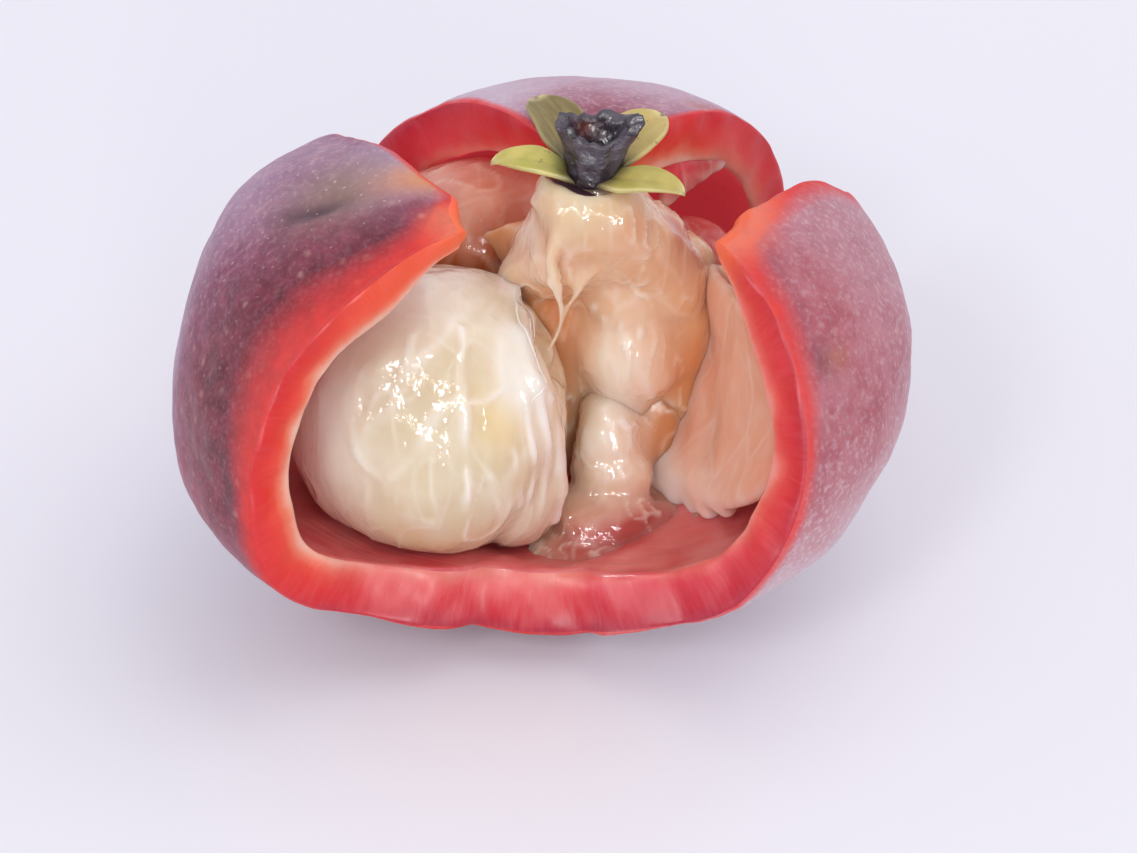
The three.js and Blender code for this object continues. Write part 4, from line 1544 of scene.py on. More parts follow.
RIGHT_SEED = PulpPiece(
    "seed_right", "pulp_right_seed", "pulp", PEACH_JELLY, voxel=0.25, rounds=12, lumps=0.22, rim=0.45,
    seed=31, from_solid=False, crease=2.0, crease_height=0.16,
    added=(
        Bulge((5.4, 1.5, 17.4), (3.9, 3.1, 5.0)),
        Bulge((4.5, 1.0, 12.4), (2.5, 2.0, 3.0)),
        Bulge((3.9, -0.9, 10.9), (2.6, 2.7, 3.7)),
        Bulge((4.2, -2.0, 8.4), (3.0, 2.6, 2.9)),
        Bulge((6.8, 1.0, 9.8), (2.4, 2.4, 3.8)),
        Bulge((3.4, -4.2, 6.6), (3.6, 3.2, 1.9)),
        Bulge((3.6, -6.6, 5.2), (5.6, 4.4, 1.05)),
        Bulge((8.0, -5.6, 5.4), (5.0, 4.6, 1.15)),
        Bulge((11.6, -7.4, 6.6), (3.0, 3.4, 1.2)),
        Bulge((7.0, 1.4, 5.6), (4.6, 4.0, 1.6)),
    ),
    folds=(
        Fold(((2.0, -2.4, 12.6), (2.6, -3.6, 10.6), (3.4, -4.8, 8.4)), 0.35, 0.16, 0.5),
        Fold(((4.8, -2.4, 13.4), (6.0, -2.6, 12.4), (7.4, -2.2, 12.6)), 0.3, 0.2),
        Fold(((3.4, -2.8, 12.6), (4.6, -3.0, 10.8), (6.2, -3.0, 9.8)), 0.3, 0.16, 0.5),
        Fold(((6.6, -2.2, 11.4), (7.6, -2.2, 10.0), (7.0, -3.4, 8.8)), 0.25, 0.16, 0.5),
        Fold(((0.6, -5.6, 6.8), (2.6, -7.4, 6.2), (5.0, -8.4, 6.2)), 0.5, 0.12, 0.3),
    ),
    blots=(
        Blot("warm", (9.8, 1.6, 20.0), (2.2, 3.0, 3.6), 0.5),
        Blot("warm", (10.2, 1.4, 16.4), (1.8, 3.0, 3.0), 0.7),
        Blot("warm", (8.4, 0.6, 13.0), (2.0, 2.4, 3.4), 0.7),
        Blot("warm", (8.0, 0.4, 10.6), (2.0, 2.6, 2.6), 0.8),
        Blot("warm", (7.4, -0.6, 9.2), (1.8, 2.2, 1.8), 0.75),
        Blot("warm", (1.0, 0.4, 15.2), (1.4, 2.0, 2.4), 0.6),
        Blot("fold", (3.0, -1.6, 20.0), (1.8, 2.2, 4.4), 0.3),
        Blot("warm", (7.6, 0.0, 20.0), (1.6, 2.6, 5.0), 0.45),
        Blot("fold", (4.0, -2.6, 12.0), (2.6, 2.2, 4.0), 0.6),
        Blot("pink", (3.6, -5.4, 6.6), (3.6, 2.4, 1.6), 0.5),
        Blot("pink", (3.6, -8.4, 5.2), (6.4, 3.6, 2.4), 0.9),
        Blot("pink", (9.0, -6.4, 6.0), (6.0, 5.0, 2.4), 0.9),
        Blot("pink", (7.6, 3.4, 5.0), (5.0, 4.4, 2.4), 0.8),
        Blot("warm", (5.4, -1.6, 16.4), (3.0, 1.6, 1.6), 0.25),
    ))

LINING_EDGE = (
    (154.0, (11.8, -2.4, 26.0), (10.6, 3.4, 23.6)),
    (146.0, (12.2, -3.6, 23.8), (10.4, 3.0, 21.4)),
    (134.0, (12.6, -4.6, 20.8), (11.0, 2.5, 17.7)),
    (122.0, (12.6, -5.4, 17.6), (10.3, 2.0, 14.4)),
    (112.0, (12.4, -6.4, 15.0), (9.7, 1.6, 11.9)),
    (104.0, (12.0, -7.4, 13.0), (8.7, 0.9, 9.4)),
    (98.0, (11.8, -8.6, 11.6), (7.2, 0.2, 7.0)),
    (94.0, (12.4, -9.4, 11.6), (9.2, -3.0, 6.8)),
)

TORN_RIGHT = PulpPiece(
    "pulp_right", "pulp_right_lining", "amber_pulp", TORN_LINING, voxel=0.27, rounds=22, lumps=0.12, rim=0.5,
    seed=41, from_solid=False, crease_height=0.02,
    added=(
        Bulge((7.5, 0.3, 8.0), (1.1, 1.2, 1.2)),
        Bulge((7.6, -0.8, 6.7), (1.3, 1.3, 1.1)),
        Bulge((8.8, -2.6, 6.6), (1.1, 1.2, 0.9)),
        Bulge((9.9, -4.4, 7.4), (1.0, 1.2, 0.8)),
        Bulge((10.9, -6.0, 8.6), (1.0, 1.3, 0.8)),
        Bulge((12.0, -7.8, 10.2), (1.0, 1.2, 0.8)),
        Bulge((8.9, 0.8, 10.0), (1.1, 1.2, 1.2)),
        Bulge((9.8, 1.4, 12.8), (1.0, 1.2, 1.2)),
        Bulge((10.4, 2.0, 15.8), (1.0, 1.2, 1.5)),
        Bulge((10.7, 2.4, 18.6), (1.1, 1.2, 1.2)),
        Bulge((10.2, 2.6, 21.4), (1.0, 1.2, 1.3)),
        Bulge((11.8, 3.0, 20.4), (1.6, 1.8, 2.6)),
    ),
    folds=(
        Fold(((11.6, 0.4, 21.0), (11.4, -0.6, 16.6), (10.4, -1.0, 12.4)), 0.5, 0.08, 0.25),
        Fold(((12.8, -8.6, 19.6), (12.6, -8.2, 15.6), (12.0, -8.0, 13.2)), 0.8, 0.08, 0.1),
    ),
    blots=(
        Blot("fold", (8.0, -0.8, 7.2), (2.2, 3.4, 2.4)),
        Blot("fold", (9.6, -3.6, 7.6), (2.8, 3.2, 2.2), 0.9),
        Blot("fold", (12.0, -7.6, 10.2), (2.4, 3.6, 2.2), 0.7),
        Blot("fold", (10.2, 1.8, 14.6), (1.3, 1.6, 7.0), 0.6),
    ))

BACK_LEFT = PulpPiece(
    "seed_back_left", "pulp_back_left", "amber_pulp", DEEP_JELLY, voxel=0.34, rounds=18, lumps=0.14, rim=0.2,
    seed=51,
    added=(
        Bulge((-5.0, 10.0, 22.0), (7.4, 4.2, 4.0)),
        Bulge((-8.6, 7.4, 21.4), (4.4, 4.6, 4.0)),
        Bulge((0.0, 8.6, 22.8), (4.4, 4.4, 4.2)),
    ),
    folds=(
        Fold(((-1.8, 8.0, 26.6), (-4.0, 6.0, 26.6), (-7.6, 5.0, 26.0)), 0.6, 0.16, 0.3),
        Fold(((-1.4, 6.4, 24.6), (-3.2, 4.0, 23.6), (-4.4, 3.0, 20.6)), 0.7, 0.2, 0.3),
        Fold(((-6.0, 6.8, 27.0), (-6.4, 4.6, 25.4), (-6.0, 3.4, 23.0)), 0.5, 0.15, 0.35),
    ),
    blots=(
        Blot("pink", (-6.4, 9.0, 25.6), (8.0, 4.0, 1.8), 0.85),
        Blot("fold", (-6.4, 8.4, 25.4), (6.0, 2.6, 1.4), 0.3),
        Blot("warm", (-5.4, 3.6, 22.0), (4.2, 3.0, 3.6), 0.7),
        Blot("warm", (-8.6, 4.4, 20.5), (3.2, 3.0, 3.6), 0.5),
    ))

BACK_MIDDLE = PulpPiece(
    "seed_back", "pulp_back_middle", "amber_pulp", DEEP_JELLY, voxel=0.36, rounds=12, lumps=0.2, seed=61)

BACK_RIGHT = PulpPiece(
    "seed_back_right", "pulp_back_right", "amber_pulp", ROSE_JELLY, voxel=0.27, rounds=8, lumps=0.12, rim=0.1,
    seed=71, crease_height=0.02,
    added=(
        Bulge((9.4, 6.4, 21.0), (3.2, 3.2, 3.0)),
        Veil((
            ((7.4, 7.0, 29.9), (7.4, 6.4, 28.4), (7.4, 5.9, 27.2), (7.3, 5.6, 26.0)),
            ((9.0, 8.4, 28.8), (8.7, 7.8, 27.6), (8.6, 7.4, 26.7), (8.6, 7.2, 25.9)),
            ((10.4, 10.0, 27.6), (9.9, 9.2, 26.9), (9.8, 8.8, 26.3), (9.8, 8.6, 25.7)),
            ((11.5, 11.2, 26.4), (11.0, 10.3, 26.1), (10.8, 10.0, 25.8), (10.7, 9.8, 25.5)),
            ((12.3, 12.2, 25.6), (11.8, 11.3, 25.5), (11.6, 11.0, 25.4), (11.5, 10.8, 25.3)),
        ), 0.9, (20, 40), 0.7),
    ),
    folds=(
        Fold(((7.3, 5.4, 26.3), (8.6, 7.0, 26.1), (9.8, 8.4, 25.9), (11.3, 10.3, 25.5)), 0.5, 0.1, 1.4),
        Fold(((6.4, 7.6, 22.0), (7.6, 5.0, 22.0), (9.6, 3.2, 20.4)), 0.45, 0.2, 0.4),
        Fold(((8.6, 8.0, 22.2), (10.4, 5.4, 21.4), (11.8, 3.6, 19.4)), 0.4, 0.2, 0.3),
    ),
    blots=(
        Blot("pink", (9.4, 8.6, 28.8), (5.0, 5.0, 1.5)),
        Blot("warm", (10.6, 2.6, 17.6), (2.6, 2.0, 3.2), 0.8),
    ))

CORE_PIECE = PulpPiece(
    "core", "pulp_core", "core", TENT_MEMBRANE, voxel=0.25, rounds=15, lumps=0.14, rim=0.5, seed=81,
    crease=2.2, crease_height=0.16,
    added=(
        Veil((
            ((-0.4, 0.7, 33.3), (-1.0, 0.9, 32.2), (-1.4, 1.1, 29.4), (-2.6, 1.0, 26.6),
             (-3.6, 0.8, 24.9), (-4.5, 0.6, 22.9)),
            ((-0.1, -0.9, 33.4), (-0.6, -1.1, 32.3), (-0.7, -0.9, 29.6), (-1.4, -0.8, 27.4),
             (-2.4, -0.8, 26.0), (-3.2, -0.6, 24.1)),
            ((1.0, -1.8, 33.6), (0.3, -2.5, 32.3), (0.0, -2.4, 29.7), (-0.6, -1.9, 27.8),
             (-1.0, -0.8, 25.6), (-1.2, 1.0, 23.0)),
            ((1.8, -2.2, 33.7), (1.3, -3.2, 32.4), (1.2, -3.2, 30.6), (0.9, -2.6, 28.4),
             (0.6, -1.2, 25.8), (0.4, 1.0, 22.8)),
            ((2.7, -2.3, 33.7), (2.9, -3.4, 32.4), (3.0, -3.4, 30.7), (2.7, -2.8, 28.6),
             (2.7, -1.6, 26.2), (3.2, 0.6, 22.6)),
            ((3.7, -2.0, 33.6), (4.5, -3.0, 32.3), (5.1, -3.0, 30.3), (5.3, -2.2, 28.0),
             (5.4, -0.7, 25.0), (5.4, 1.6, 21.6)),
            ((4.7, -1.5, 33.3), (5.5, -2.0, 32.0), (6.6, -2.1, 29.8), (7.4, -1.5, 27.2), (8.0, -1.0, 24.4),
             (8.6, -0.5, 21.4), (8.6, 0.8, 18.6)),
            ((5.0, -0.2, 33.2), (5.7, -0.5, 31.8), (6.9, -0.6, 30.0), (8.3, -0.5, 28.2), (9.8, -0.1, 25.8),
             (10.5, 0.6, 22.8), (10.2, 1.6, 19.4)),
            ((4.8, 1.6, 32.4), (5.8, 2.0, 29.6), (7.2, 2.2, 27.4), (9.0, 2.2, 25.4), (10.8, 2.4, 23.4),
             (11.2, 3.0, 21.0), (11.0, 3.8, 19.0)),
        ), 1.0, (40, 56), 0.35),
        Bulge((0.8, 2.4, 12.6), (3.0, 2.3, 9.4)),
        Bulge((-0.4, 1.8, 21.0), (2.6, 2.0, 5.0)),
        Bulge((3.4, 0.2, 30.0), (3.4, 2.6, 3.6)),
        Bulge((5.4, 1.2, 26.8), (4.0, 2.8, 3.4)),
        Bulge((5.4, 1.2, 17.6), (4.2, 3.4, 5.3)),
        Bulge((5.2, 1.2, 22.4), (3.6, 2.7, 4.4)),
        Bulge((4.9, 0.9, 13.4), (2.6, 2.2, 4.0)),
        Bulge((9.2, 2.2, 18.4), (2.3, 2.8, 5.4)),
        Bulge((8.6, 2.6, 23.0), (2.8, 2.8, 3.4)),
        Bulge((8.6, 1.8, 13.4), (2.0, 2.0, 4.4)),
        Band(((0.8, -2.8, 32.0), (0.2, -3.3, 30.6), (-0.2, -3.7, 29.1), (0.2, -4.0, 26.8), (0.5, -4.2, 25.0),
              (0.2, -4.4, 23.0), (-0.5, -4.4, 21.4)), (0.55, 0.42, 0.26)),
        Band(((4.3, -2.9, 28.9), (2.7, -3.0, 27.4), (1.6, -3.2, 25.9), (0.8, -3.6, 24.2), (-0.1, -4.2, 22.0)),
             (0.3, 0.36, 0.24)),
        Band(((-0.8, -1.6, 32.2), (-1.4, -1.2, 31.9), (-1.7, -0.6, 31.9)), (0.4, 0.34, 0.28)),
    ),
    folds=(
        Fold(((6.8, 0.0, 23.6), (5.2, -0.4, 23.9), (3.4, -0.6, 23.2), (2.0, -0.8, 21.4), (1.3, -0.8, 19.0)),
             0.24, 0.2, 0.95),
        Fold(((4.8, -1.4, 22.0), (5.0, -2.0, 19.8), (4.6, -2.3, 17.2), (4.8, -1.8, 14.6)), 0.3, 0.2, 0.75),
        Fold(((5.0, -2.0, 19.8), (6.2, -1.9, 17.4), (6.8, -1.4, 14.8), (8.2, -0.4, 12.8)), 0.3, 0.18, 0.65),
        Fold(((3.4, -1.2, 21.6), (3.3, -1.9, 18.6), (3.8, -2.0, 15.4)), 0.3, 0.16, 0.5),
        Fold(((6.6, -1.2, 21.4), (7.6, -1.2, 18.6), (7.6, -0.8, 15.4)), 0.3, 0.16, 0.4),
        Fold(((0.9, -1.5, 30.0), (-0.6, -2.0, 28.4), (-2.4, -1.2, 26.4)), 0.4, 0.2, 0.6),
        Fold(((2.2, -3.4, 31.8), (1.2, -3.4, 29.6), (0.8, -3.2, 28.0)), 0.3, 0.2, 0.4),
        Fold(((4.2, -3.0, 32.0), (4.6, -3.0, 30.4), (6.2, -2.6, 28.6)), 0.35, 0.2, 0.5),
        Fold(((5.6, -2.0, 31.6), (7.0, -2.2, 29.6), (8.0, -1.6, 27.0)), 0.35, 0.2, 0.5),
        Fold(((6.8, -1.6, 30.6), (8.6, -1.0, 28.8), (10.0, 0.4, 27.0)), 0.3, 0.16, 0.5),
        Fold(((0.2, -0.8, 32.2), (-1.2, -0.4, 29.4), (-3.4, 0.2, 25.6)), 0.9, 0.2, 0.8),
        Fold(((0.0, 2.0, 30.0), (-2.6, 0.9, 26.6), (-4.4, 0.6, 23.4)), 0.5, 0.16, 0.9),
    ),
    blots=(
        Blot("warm", (-0.4, 0.0, 20.0), (3.0, 3.0, 5.4)),
        Blot("warm", (-0.2, -0.2, 25.0), (1.6, 2.0, 1.8), 0.8),
        Blot("warm", (-0.8, 1.6, 13.0), (3.0, 3.0, 6.0)),
        Blot("warm", (-7.4, 4.4, 22.0), (2.4, 2.4, 4.0), 0.9),
        Blot("warm", (-4.6, 3.2, 27.0), (2.4, 1.7, 3.0), 0.9),
        Blot("pink", (5.4, -2.6, 31.4), (2.6, 2.2, 1.8), 0.3),
        Blot("pink", (8.1, 0.0, 29.2), (1.2, 1.6, 1.9), 0.6),
        Blot("warm", (2.6, -3.2, 29.4), (2.2, 1.6, 1.8), 0.25),
        Blot("pink", (0.4, -2.6, 29.2), (1.4, 1.4, 1.8), 0.16),
        Blot("pink", (9.4, 0.2, 26.8), (1.8, 2.0, 2.4), 0.5),
        Blot("warm", (9.8, 0.0, 18.4), (2.2, 2.8, 5.0), 0.75),
        Blot("fold", (4.4, -2.0, 17.6), (3.2, 2.4, 5.0), 0.9),
        Blot("warm", (8.8, 0.4, 13.4), (2.4, 2.8, 4.4), 0.7),
        Blot("fold", (-1.6, -1.2, 28.4), (2.2, 1.8, 4.0), 0.6),
        Blot("warm", (6.0, -1.6, 26.4), (3.4, 1.6, 1.8), 0.2),
        Blot("fold", (4.4, -1.4, 13.4), (2.6, 1.8, 2.0), 0.4),
    ))

PULP = (FRONT_LEFT, RIGHT_SEED, BACK_LEFT, BACK_MIDDLE, BACK_RIGHT, CORE_PIECE)


@dataclass(frozen=True)
class SurfaceThreads:
    """Fine threads of membrane that leave the scar of a seed and spread over its surface.

    Attributes:
        scar: Where they start.
        middle: Middle of the seed.
        bearings: Directions in which they leave, in degrees around the scar.
        reach: How far the longest one may go, in degrees seen from the middle.
        radius: Radius of a thread at its middle, in millimetres.
        sides: Faces around a thread.
        seed: Picks their lengths and bends.
    """

    scar: Point = (-3.7, 0.2, 23.8)
    middle: Point = (-8.7, -3.8, 15.4)
    bearings: tuple[float, ...] = (18.0, 34.0, 50.0)
    reach: float = 70.0
    radius: float = 0.11
    sides: int = 8
    seed: int = 5

    def lines(self, piece: Object) -> list[Array]:
        """Lays the threads on a piece.

        Args:
            piece: The finished piece of pulp.

        Returns:
            The points of each thread, in millimetres.
        """
        surface = BVHTree.FromPolygons(
            read_points(piece.data).tolist(), [tuple(face.vertices) for face in piece.data.polygons])
        rng = np.random.default_rng(self.seed)
        middle = Vector(self.middle)
        axis = (Vector(self.scar) - middle).normalized()
        front = Vector((0.0, -1.0, 0.0))
        front = (front - axis * front.dot(axis)).normalized()
        side = axis.cross(front)
        drawn = []
        for bearing in self.bearings:
            reach = self.reach * rng.uniform(0.45, 1.0)
            bend, sway, phase = rng.uniform(-22.0, 22.0), rng.uniform(4.0, 9.0), rng.uniform(0.0, 6.0)
            line = []
            for away in np.arange(4.0, reach, 1.2):
                turn = math.radians(bearing + bend * away / 60.0 + sway * math.sin(away / 7.0 + phase))
                polar = math.radians(away)
                outward = front * math.cos(turn) + side * math.sin(turn)
                way = axis * math.cos(polar) + outward * math.sin(polar)
                hit = surface.ray_cast(middle, way)[0]
                if hit is not None:
                    line.append(tuple(hit - way * 0.5 * self.radius))
            if len(line) > 3:
                drawn.append(np.array(line))
        return drawn

    def tree(self, jelly: Material) -> NodeTree:
        """Makes the tree that gives the lines their thickness."""
        tree, given = start_tree("threads_along_lines", {
            "Lines": "Geometry", "Sides": "Int", "Unit": "Float"})
        curve = add_node(tree, "GeometryNodeMeshToCurve", {"Mesh": given["Lines"]})
        ring = add_node(tree, "GeometryNodeCurvePrimitiveCircle", {
            "Resolution": given["Sides"], "Radius": given["Unit"]}, mode="RADIUS")
        tube = add_node(tree, "GeometryNodeCurveToMesh", {
            "Curve": curve, "Profile Curve": ring, "Scale": named(tree, "thick"), "Fill Caps": True})
        end_tree(tree, tube, jelly)
        return tree

    def build(self, piece: Object) -> Object:
        """Draws the threads.

        Args:
            piece: The finished piece of pulp that they lie on.

        Returns:
            The finished threads, as one piece.
        """
        points, edges, thick = [], [], []
        for line in self.lines(piece):
            first = len(points)
            points.extend((line * MM).tolist())
            edges.extend((first + k, first + k + 1) for k in range(len(line) - 1))
            u = np.linspace(0.0, 1.0, len(line))
            thick.extend(self.radius * (0.25 + 0.75 * np.sin(math.pi * u) ** 0.6))
        mesh = bpy.data.meshes.new("seed_threads")
        mesh.from_pydata(points, edges, [])
        add_layer(mesh, "thick", np.array(thick))
        for layer, value in (("fold", 0.8), ("warm", 0.0), ("yellow", 0.0), ("pink", 0.0)):
            add_layer(mesh, layer, np.full(len(points), value))
        tree = self.tree(WHITE_THREAD.material())
        obj = grown(placed("seed_threads", mesh), tree, {"Sides": self.sides, "Unit": MM})
        return finished(obj, "pulp")


# ---- calyx and stem ----

@dataclass(frozen=True)
class Sepal:
    """A sepal, thick at its midrib and closed to an edge at its margin.

    Attributes:
        node: Name of its solid.
        aim: Direction in degrees.
        length: From its root to its tip.
        width: At its widest.
        lift: How high it rises over the skin.
        curl: How far its tip is turned up, or down below 0.
        cup: How far its sides are turned up.
        old: How brown and dull it is.
        faded: Colour that it takes as it grows old.
        blunt: Above 2 its tip is rounder.
        root_turn: How many degrees its root is turned away from its aim.
        thick: Its thickness at the root.
        start: Distance of its root from the stem's axis.
        solid_start: Distance from the axis that its length is measured from.
        gap: Height of its underside over the skin.
        rows: Faces along it.
        columns: Faces across it.
    """

    node: str
    aim: float
    length: float
    width: float
    lift: float
    curl: float
    cup: float
    old: float
    faded: str
    blunt: float
    root_turn: float = 0.0
    thick: float = 0.85
    start: float = 1.3
    solid_start: float = 2.1
    gap: float = 0.15
    rows: int = 44
    columns: int = 26

    def build(self, rind: Rind, name: str) -> Object:
        """Makes the sepal and dresses it.

        Args:
            rind: The rind that it lies on.
            name: Name of the finished piece.

        Returns:
            The finished sepal.
        """
        along, across = np.meshgrid(
            np.linspace(0.0, 1.0, self.rows + 1), np.linspace(-1.0, 1.0, self.columns + 1), indexing="ij")
        x = self.start + along * (self.solid_start - self.start + self.length)
        tip = np.clip(1.0 - along ** self.blunt, 0.0, 1.0) ** 0.6
        half = 0.5 * self.width * tip * mix(0.72, 1.0, ramp(0.0, 0.4, along)) + 0.03
        half = half * (1.0 + 0.04 * np.sin(9.0 * along + self.aim + 2.0 * np.sign(across)))
        y = across * half
        rise = self.lift * np.sin(0.5 * math.pi * np.minimum(1.0, 1.6 * along)) + self.curl * along ** 3
        bowl = self.cup * self.width * across ** 2 * (1.0 - 0.5 * along)
        flutter = 0.1 * np.sin(7.0 * along + self.aim) * across ** 2
        bed = rind.skin_height(np.hypot(x, y)) + self.gap
        edge = np.sqrt(np.clip(1.0 - across ** 2, 0.0, 1.0)) ** 0.7
        ends = np.sqrt(np.clip(1.0 - along ** 10, 0.0, 1.0)) * np.sqrt(np.clip(along * 14.0, 0.0, 1.0))
        body = self.thick * (1.0 - 0.5 * along) * edge * ends
        groove = 0.1 * bell(across, 0.2) * np.sin(math.pi * along) ** 0.5
        low = bed + rise + bowl + flutter
        turn = np.radians(self.aim + self.root_turn * (1.0 - along) ** 1.5)
        quilt = Quilt(tolerance=0.002)
        # The root layer paints shade: each sepal darkens toward its root, where it meets the stem.
        layers = {
            "margin": np.clip(0.5 * ramp(0.84, 1.0, np.abs(across)) + ramp(0.86, 1.0, along), 0.0, 1.0),
            "root": ramp(0.3, 0.02, along), "old": np.full(x.shape, self.old)}
        for z in (low + body - groove * edge, low + 0.02 * edge * ends):
            points = np.stack([STEM_AXIS[0] + x * np.cos(turn) - y * np.sin(turn),
                               STEM_AXIS[1] + x * np.sin(turn) + y * np.cos(turn), z], axis=-1)
            quilt.add(points, np.stack([y, x], axis=-1), 0, layers)
        obj = quilt.sewn(name)
        obj.data.materials.append(SepalLeaf(f"sepal_{name}", self.faded).material())
        return finished(obj, "calyx", self.node)


SEPALS = {
    "leaf_front_left": Sepal(
        "sepal_front_left", aim=170.0, length=4.8, width=3.0, lift=0.9, curl=-1.3, cup=0.2, old=0.0,
        faded="#a37c4c", blunt=2.4, root_turn=24.0),
    "leaf_front_right": Sepal(
        "sepal_front_right", aim=-17.0, length=4.5, width=3.3, lift=0.5, curl=-1.0, cup=0.18, old=0.25,
        faded="#a37c4c", blunt=2.2, root_turn=-22.0),
    "leaf_back_left": Sepal(
        "sepal_back_left", aim=117.0, length=6.4, width=3.8, lift=0.4, curl=0.2, cup=0.24, old=0.85,
        faded="#6e5838", blunt=3.6),
    "leaf_back_right": Sepal(
        "sepal_back_right", aim=48.0, length=5.2, width=4.4, lift=0.4, curl=0.2, cup=0.2, old=0.5,
        faded="#c8a070", blunt=3.2, root_turn=-4.0),
}


@dataclass(frozen=True)
class StemStub:
    """The broken stem: a charred cup with a ragged rim.

    Attributes:
        base: Height of its foot.
        foot: Radius of its foot.
        mouth: Half widths of its mouth along x and y.
        height: From foot to rim.
        lean: How far the rim stands away from the foot.
        outline: Shares of the foot's radius and of the height, up the outside and down the hollow.
        rim_share: Share of the outline where the rim is.
        rust: Where the rusty patch in its mouth is, along x and y.
    """

    base: float = 33.4
    foot: float = 1.6
    mouth: tuple[float, float] = (2.9, 1.8)
    height: float = 4.1
    lean: tuple[float, float] = (0.6, 0.4)
    outline: tuple[tuple[float, float], ...] = (
        (0.0, 0.0), (0.7, 0.0), (1.0, 0.03), (1.08, 0.22), (1.24, 0.46), (1.46, 0.73), (1.64, 0.93),
        (1.7, 1.0), (1.3, 0.97), (1.0, 0.78), (0.65, 0.55), (0.0, 0.39))
    rim_share: float = 0.62
    rust: tuple[float, float] = (2.2, 1.3)

    def build(self) -> Object:
        """Makes the stub and dresses it.

        Returns:
            The finished stub.
        """
        shape = curve_through(tuple((r, v, 0.0) for r, v in self.outline), 0.035)
        turn = np.linspace(0.0, 2.0 * math.pi, 97)
        r = self.foot * np.clip(shape[:, 0], 0.0, None)[:, None] + 0.0 * turn[None, :]
        v = np.clip(shape[:, 1], 0.0, 1.02)[:, None] + 0.0 * turn[None, :]
        r[0], r[-1] = 0.0, 0.0
        widest = max(side for side, _ in self.outline)
        prongs = v ** 3 * (0.42 * np.cos(2.0 * turn) + 0.16 * np.sin(5.0 * turn + 1.0))
        splinters = 0.16 * v ** 5 * np.sin(11.0 * turn + 2.0 * np.sin(3.0 * turn)) * (r / self.foot > 1.2)
        stretch = [mix(1.0, side / (self.foot * widest), v) for side in self.mouth]
        flute = 1.0 + 0.04 * np.sin(9.0 * turn + 3.0 * v) * ramp(0.05, 0.4, v)
        x = STEM_AXIS[0] + r * flute * np.cos(turn) * stretch[0] + self.lean[0] * v
        y = STEM_AXIS[1] + r * flute * np.sin(turn) * stretch[1] + self.lean[1] * v
        z = self.base + self.height * v + prongs + splinters
        along = np.linspace(0.0, 1.0, len(shape))[:, None] + 0.0 * turn[None, :]
        quilt = Quilt(tolerance=0.002)
        rusty = bell(np.hypot(x - self.rust[0], y - self.rust[1]), 0.8)
        quilt.add(np.stack([x, y, z], axis=-1), np.stack([turn + 0.0 * v, self.height * v], axis=-1), 0,
                  {"inside": rusty * ramp(self.rim_share - 0.03, self.rim_share + 0.08, along)})
        obj = quilt.sewn("charred_stub")
        mesh = obj.data
        points = read_points(mesh)
        rough = 0.09 * Ripple(1.9, 91).at(points) + 0.02 * Ripple(0.6, 92).at(points)
        write_points(mesh, points + read_normals(mesh) * (rough * ramp(33.6, 34.6, points[:, 2]))[:, None])
        mesh.materials.append(CharredStem("charred_stem_bark").material())
        return finished(obj, "stem", "stem")


# ---- studio ----

def aimed(obj: Object, at: Vector, target: Vector) -> None:
    """Places a lamp or camera so that it faces the target, both in metres."""
    obj.location = at
    obj.rotation_mode = "QUATERNION"
    obj.rotation_quaternion = (target - at).to_track_quat("-Z", "Y")


@dataclass(frozen=True)
class SoftBox:
    """An area light.

    Attributes:
        name: Its name.
        at: Where it hangs, in metres.
        size: Its width and height, in metres.
        power: In watts.
        colour: Hex colour of its light.
        only_glints: Whether it shows in wet surfaces alone, as a bright card does.
    """

    name: str
    at: Point
    size: tuple[float, float]
    power: float
    colour: str
    only_glints: bool = False

    def hang(self, target: Vector) -> None:
        """Hangs the light so that it faces the target."""
        lamp = bpy.data.lights.new(self.name, "AREA")
        lamp.shape = "RECTANGLE"
        lamp.size, lamp.size_y = self.size
        lamp.energy = self.power
        lamp.color = linear(self.colour)[:3]
        obj = placed(self.name, lamp)
        aimed(obj, Vector(self.at), target)
        obj.visible_diffuse = not self.only_glints


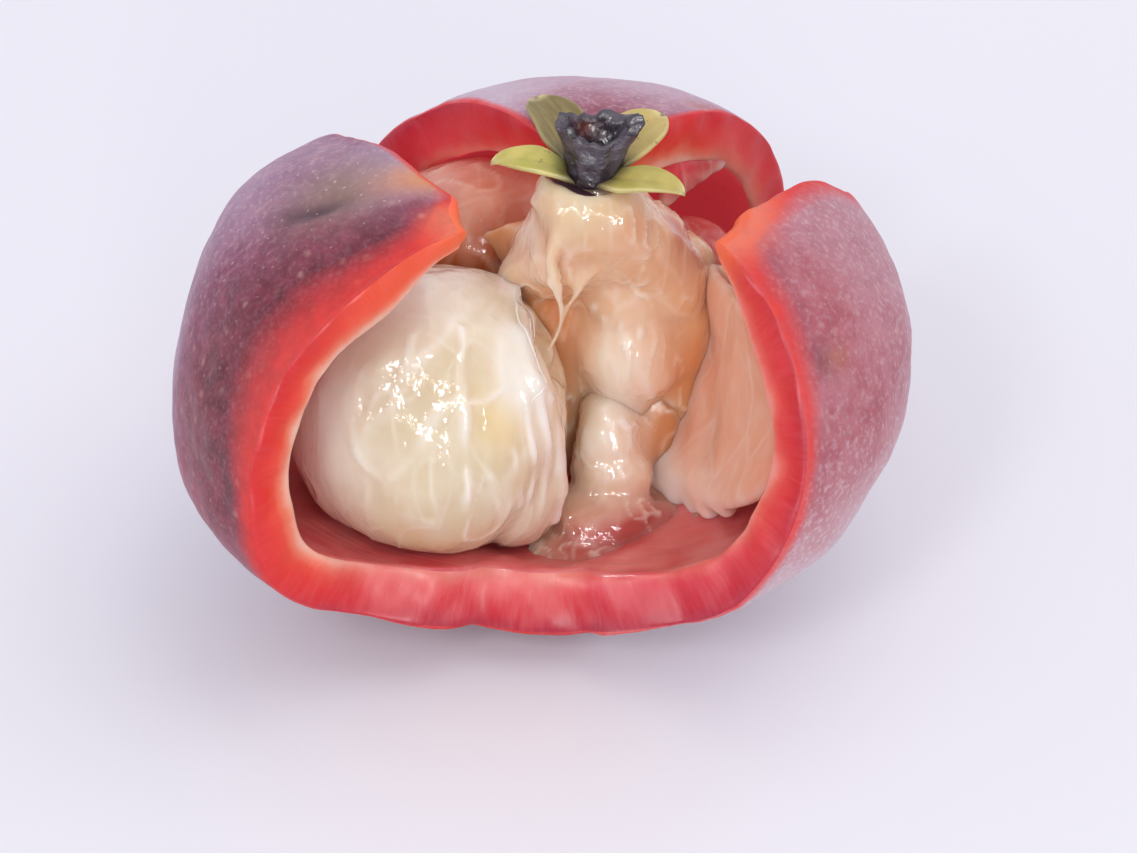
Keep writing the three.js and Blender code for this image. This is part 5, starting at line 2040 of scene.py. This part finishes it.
@dataclass(frozen=True)
class Studio:
    """Paper floor, lights and camera.

    Attributes:
        eye: Where the camera stands, in millimetres.
        aim: What it looks at, in millimetres.
        lens: Focal length, in millimetres.
        sensor: Width of the sensor, in millimetres.
        ambient: Strength of the light from all around.
        floor: Half the width of the paper, in metres.
        lit: What the lights face, in metres.
        lights: The soft boxes.
    """

    eye: Point = (2.5, -226.41, 213.82)
    aim: Point = (1.0, -3.05, 13.5)
    lens: float = 135.83
    sensor: float = 36.0
    ambient: float = 0.88
    floor: float = 1.6
    lit: Point = (0.0, 0.0, 0.017)
    lights: tuple[SoftBox, ...] = (
        SoftBox("overhead", (0.22, 0.1, 0.55), (0.6, 0.5), 0.8, "#fffdf8"),
        SoftBox("window", (-0.2, -0.38, 0.46), (0.11, 0.16), 0.5, "#ffffff"),
        SoftBox("front_fill", (0.1, -0.62, 0.3), (0.14, 0.1), 0.4, "#fffdf8"),
        SoftBox("high_card", (-0.18, -0.44, 0.38), (0.26, 0.14), 3.2, "#ffffff", only_glints=True),
        SoftBox("left_card", (-0.5, -0.34, 0.16), (0.13, 0.26), 2.4, "#ffffff", only_glints=True),
        SoftBox("low_card", (0.24, -0.56, 0.14), (0.14, 0.24), 3.4, "#ffffff", only_glints=True),
    )

    def build(self) -> None:
        """Lays the floor, hangs the lights and places the camera."""
        scene = bpy.context.scene
        mesh = bpy.data.meshes.new("paper_floor")
        half = self.floor
        mesh.from_pydata([(-half, -half, 0.0), (half, -half, 0.0), (half, half, 0.0), (-half, half, 0.0)],
                         [], [(0, 1, 2, 3)])
        mesh.materials.append(PlainPaper("studio_paper").material())
        placed("paper_floor", mesh)
        world = bpy.data.worlds.new("even_light")
        world.use_nodes = True
        sky = world.node_tree.nodes["Background"]
        sky.inputs["Color"].default_value = linear("#f4f4fb")
        sky.inputs["Strength"].default_value = self.ambient
        scene.world = world
        for light in self.lights:
            light.hang(Vector(self.lit))
        lens = bpy.data.cameras.new("camera")
        lens.lens = self.lens
        lens.sensor_width = self.sensor
        lens.clip_start, lens.clip_end = 0.01, 20.0
        scene.camera = placed("camera", lens)
        aimed(scene.camera, Vector(self.eye) * MM, Vector(self.aim) * MM)
        scene.view_settings.view_transform = "Standard"


# ---- the fruit ----


def main() -> None:
    """Builds the fruit, piece by piece, and the studio around it."""
    logging.basicConfig(level=logging.INFO, format="%(name)s %(message)s")
    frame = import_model()
    rind = Rind()
    skin = rind.build()
    Lenticels().build(skin)
    sheet, reddened = rind.lining(LINING_EDGE)
    clinging = replace(TORN_RIGHT, added=(*TORN_RIGHT.added, sheet), blots=(*TORN_RIGHT.blots, *reddened))
    pulp = {piece.name: piece.build(frame) for piece in (clinging, *PULP)}
    SurfaceThreads().build(pulp["pulp_front_left"])
    for name, sepal in SEPALS.items():
        sepal.build(rind, name)
    StemStub().build()
    Studio().build()


if __name__ == "__main__":
    main()
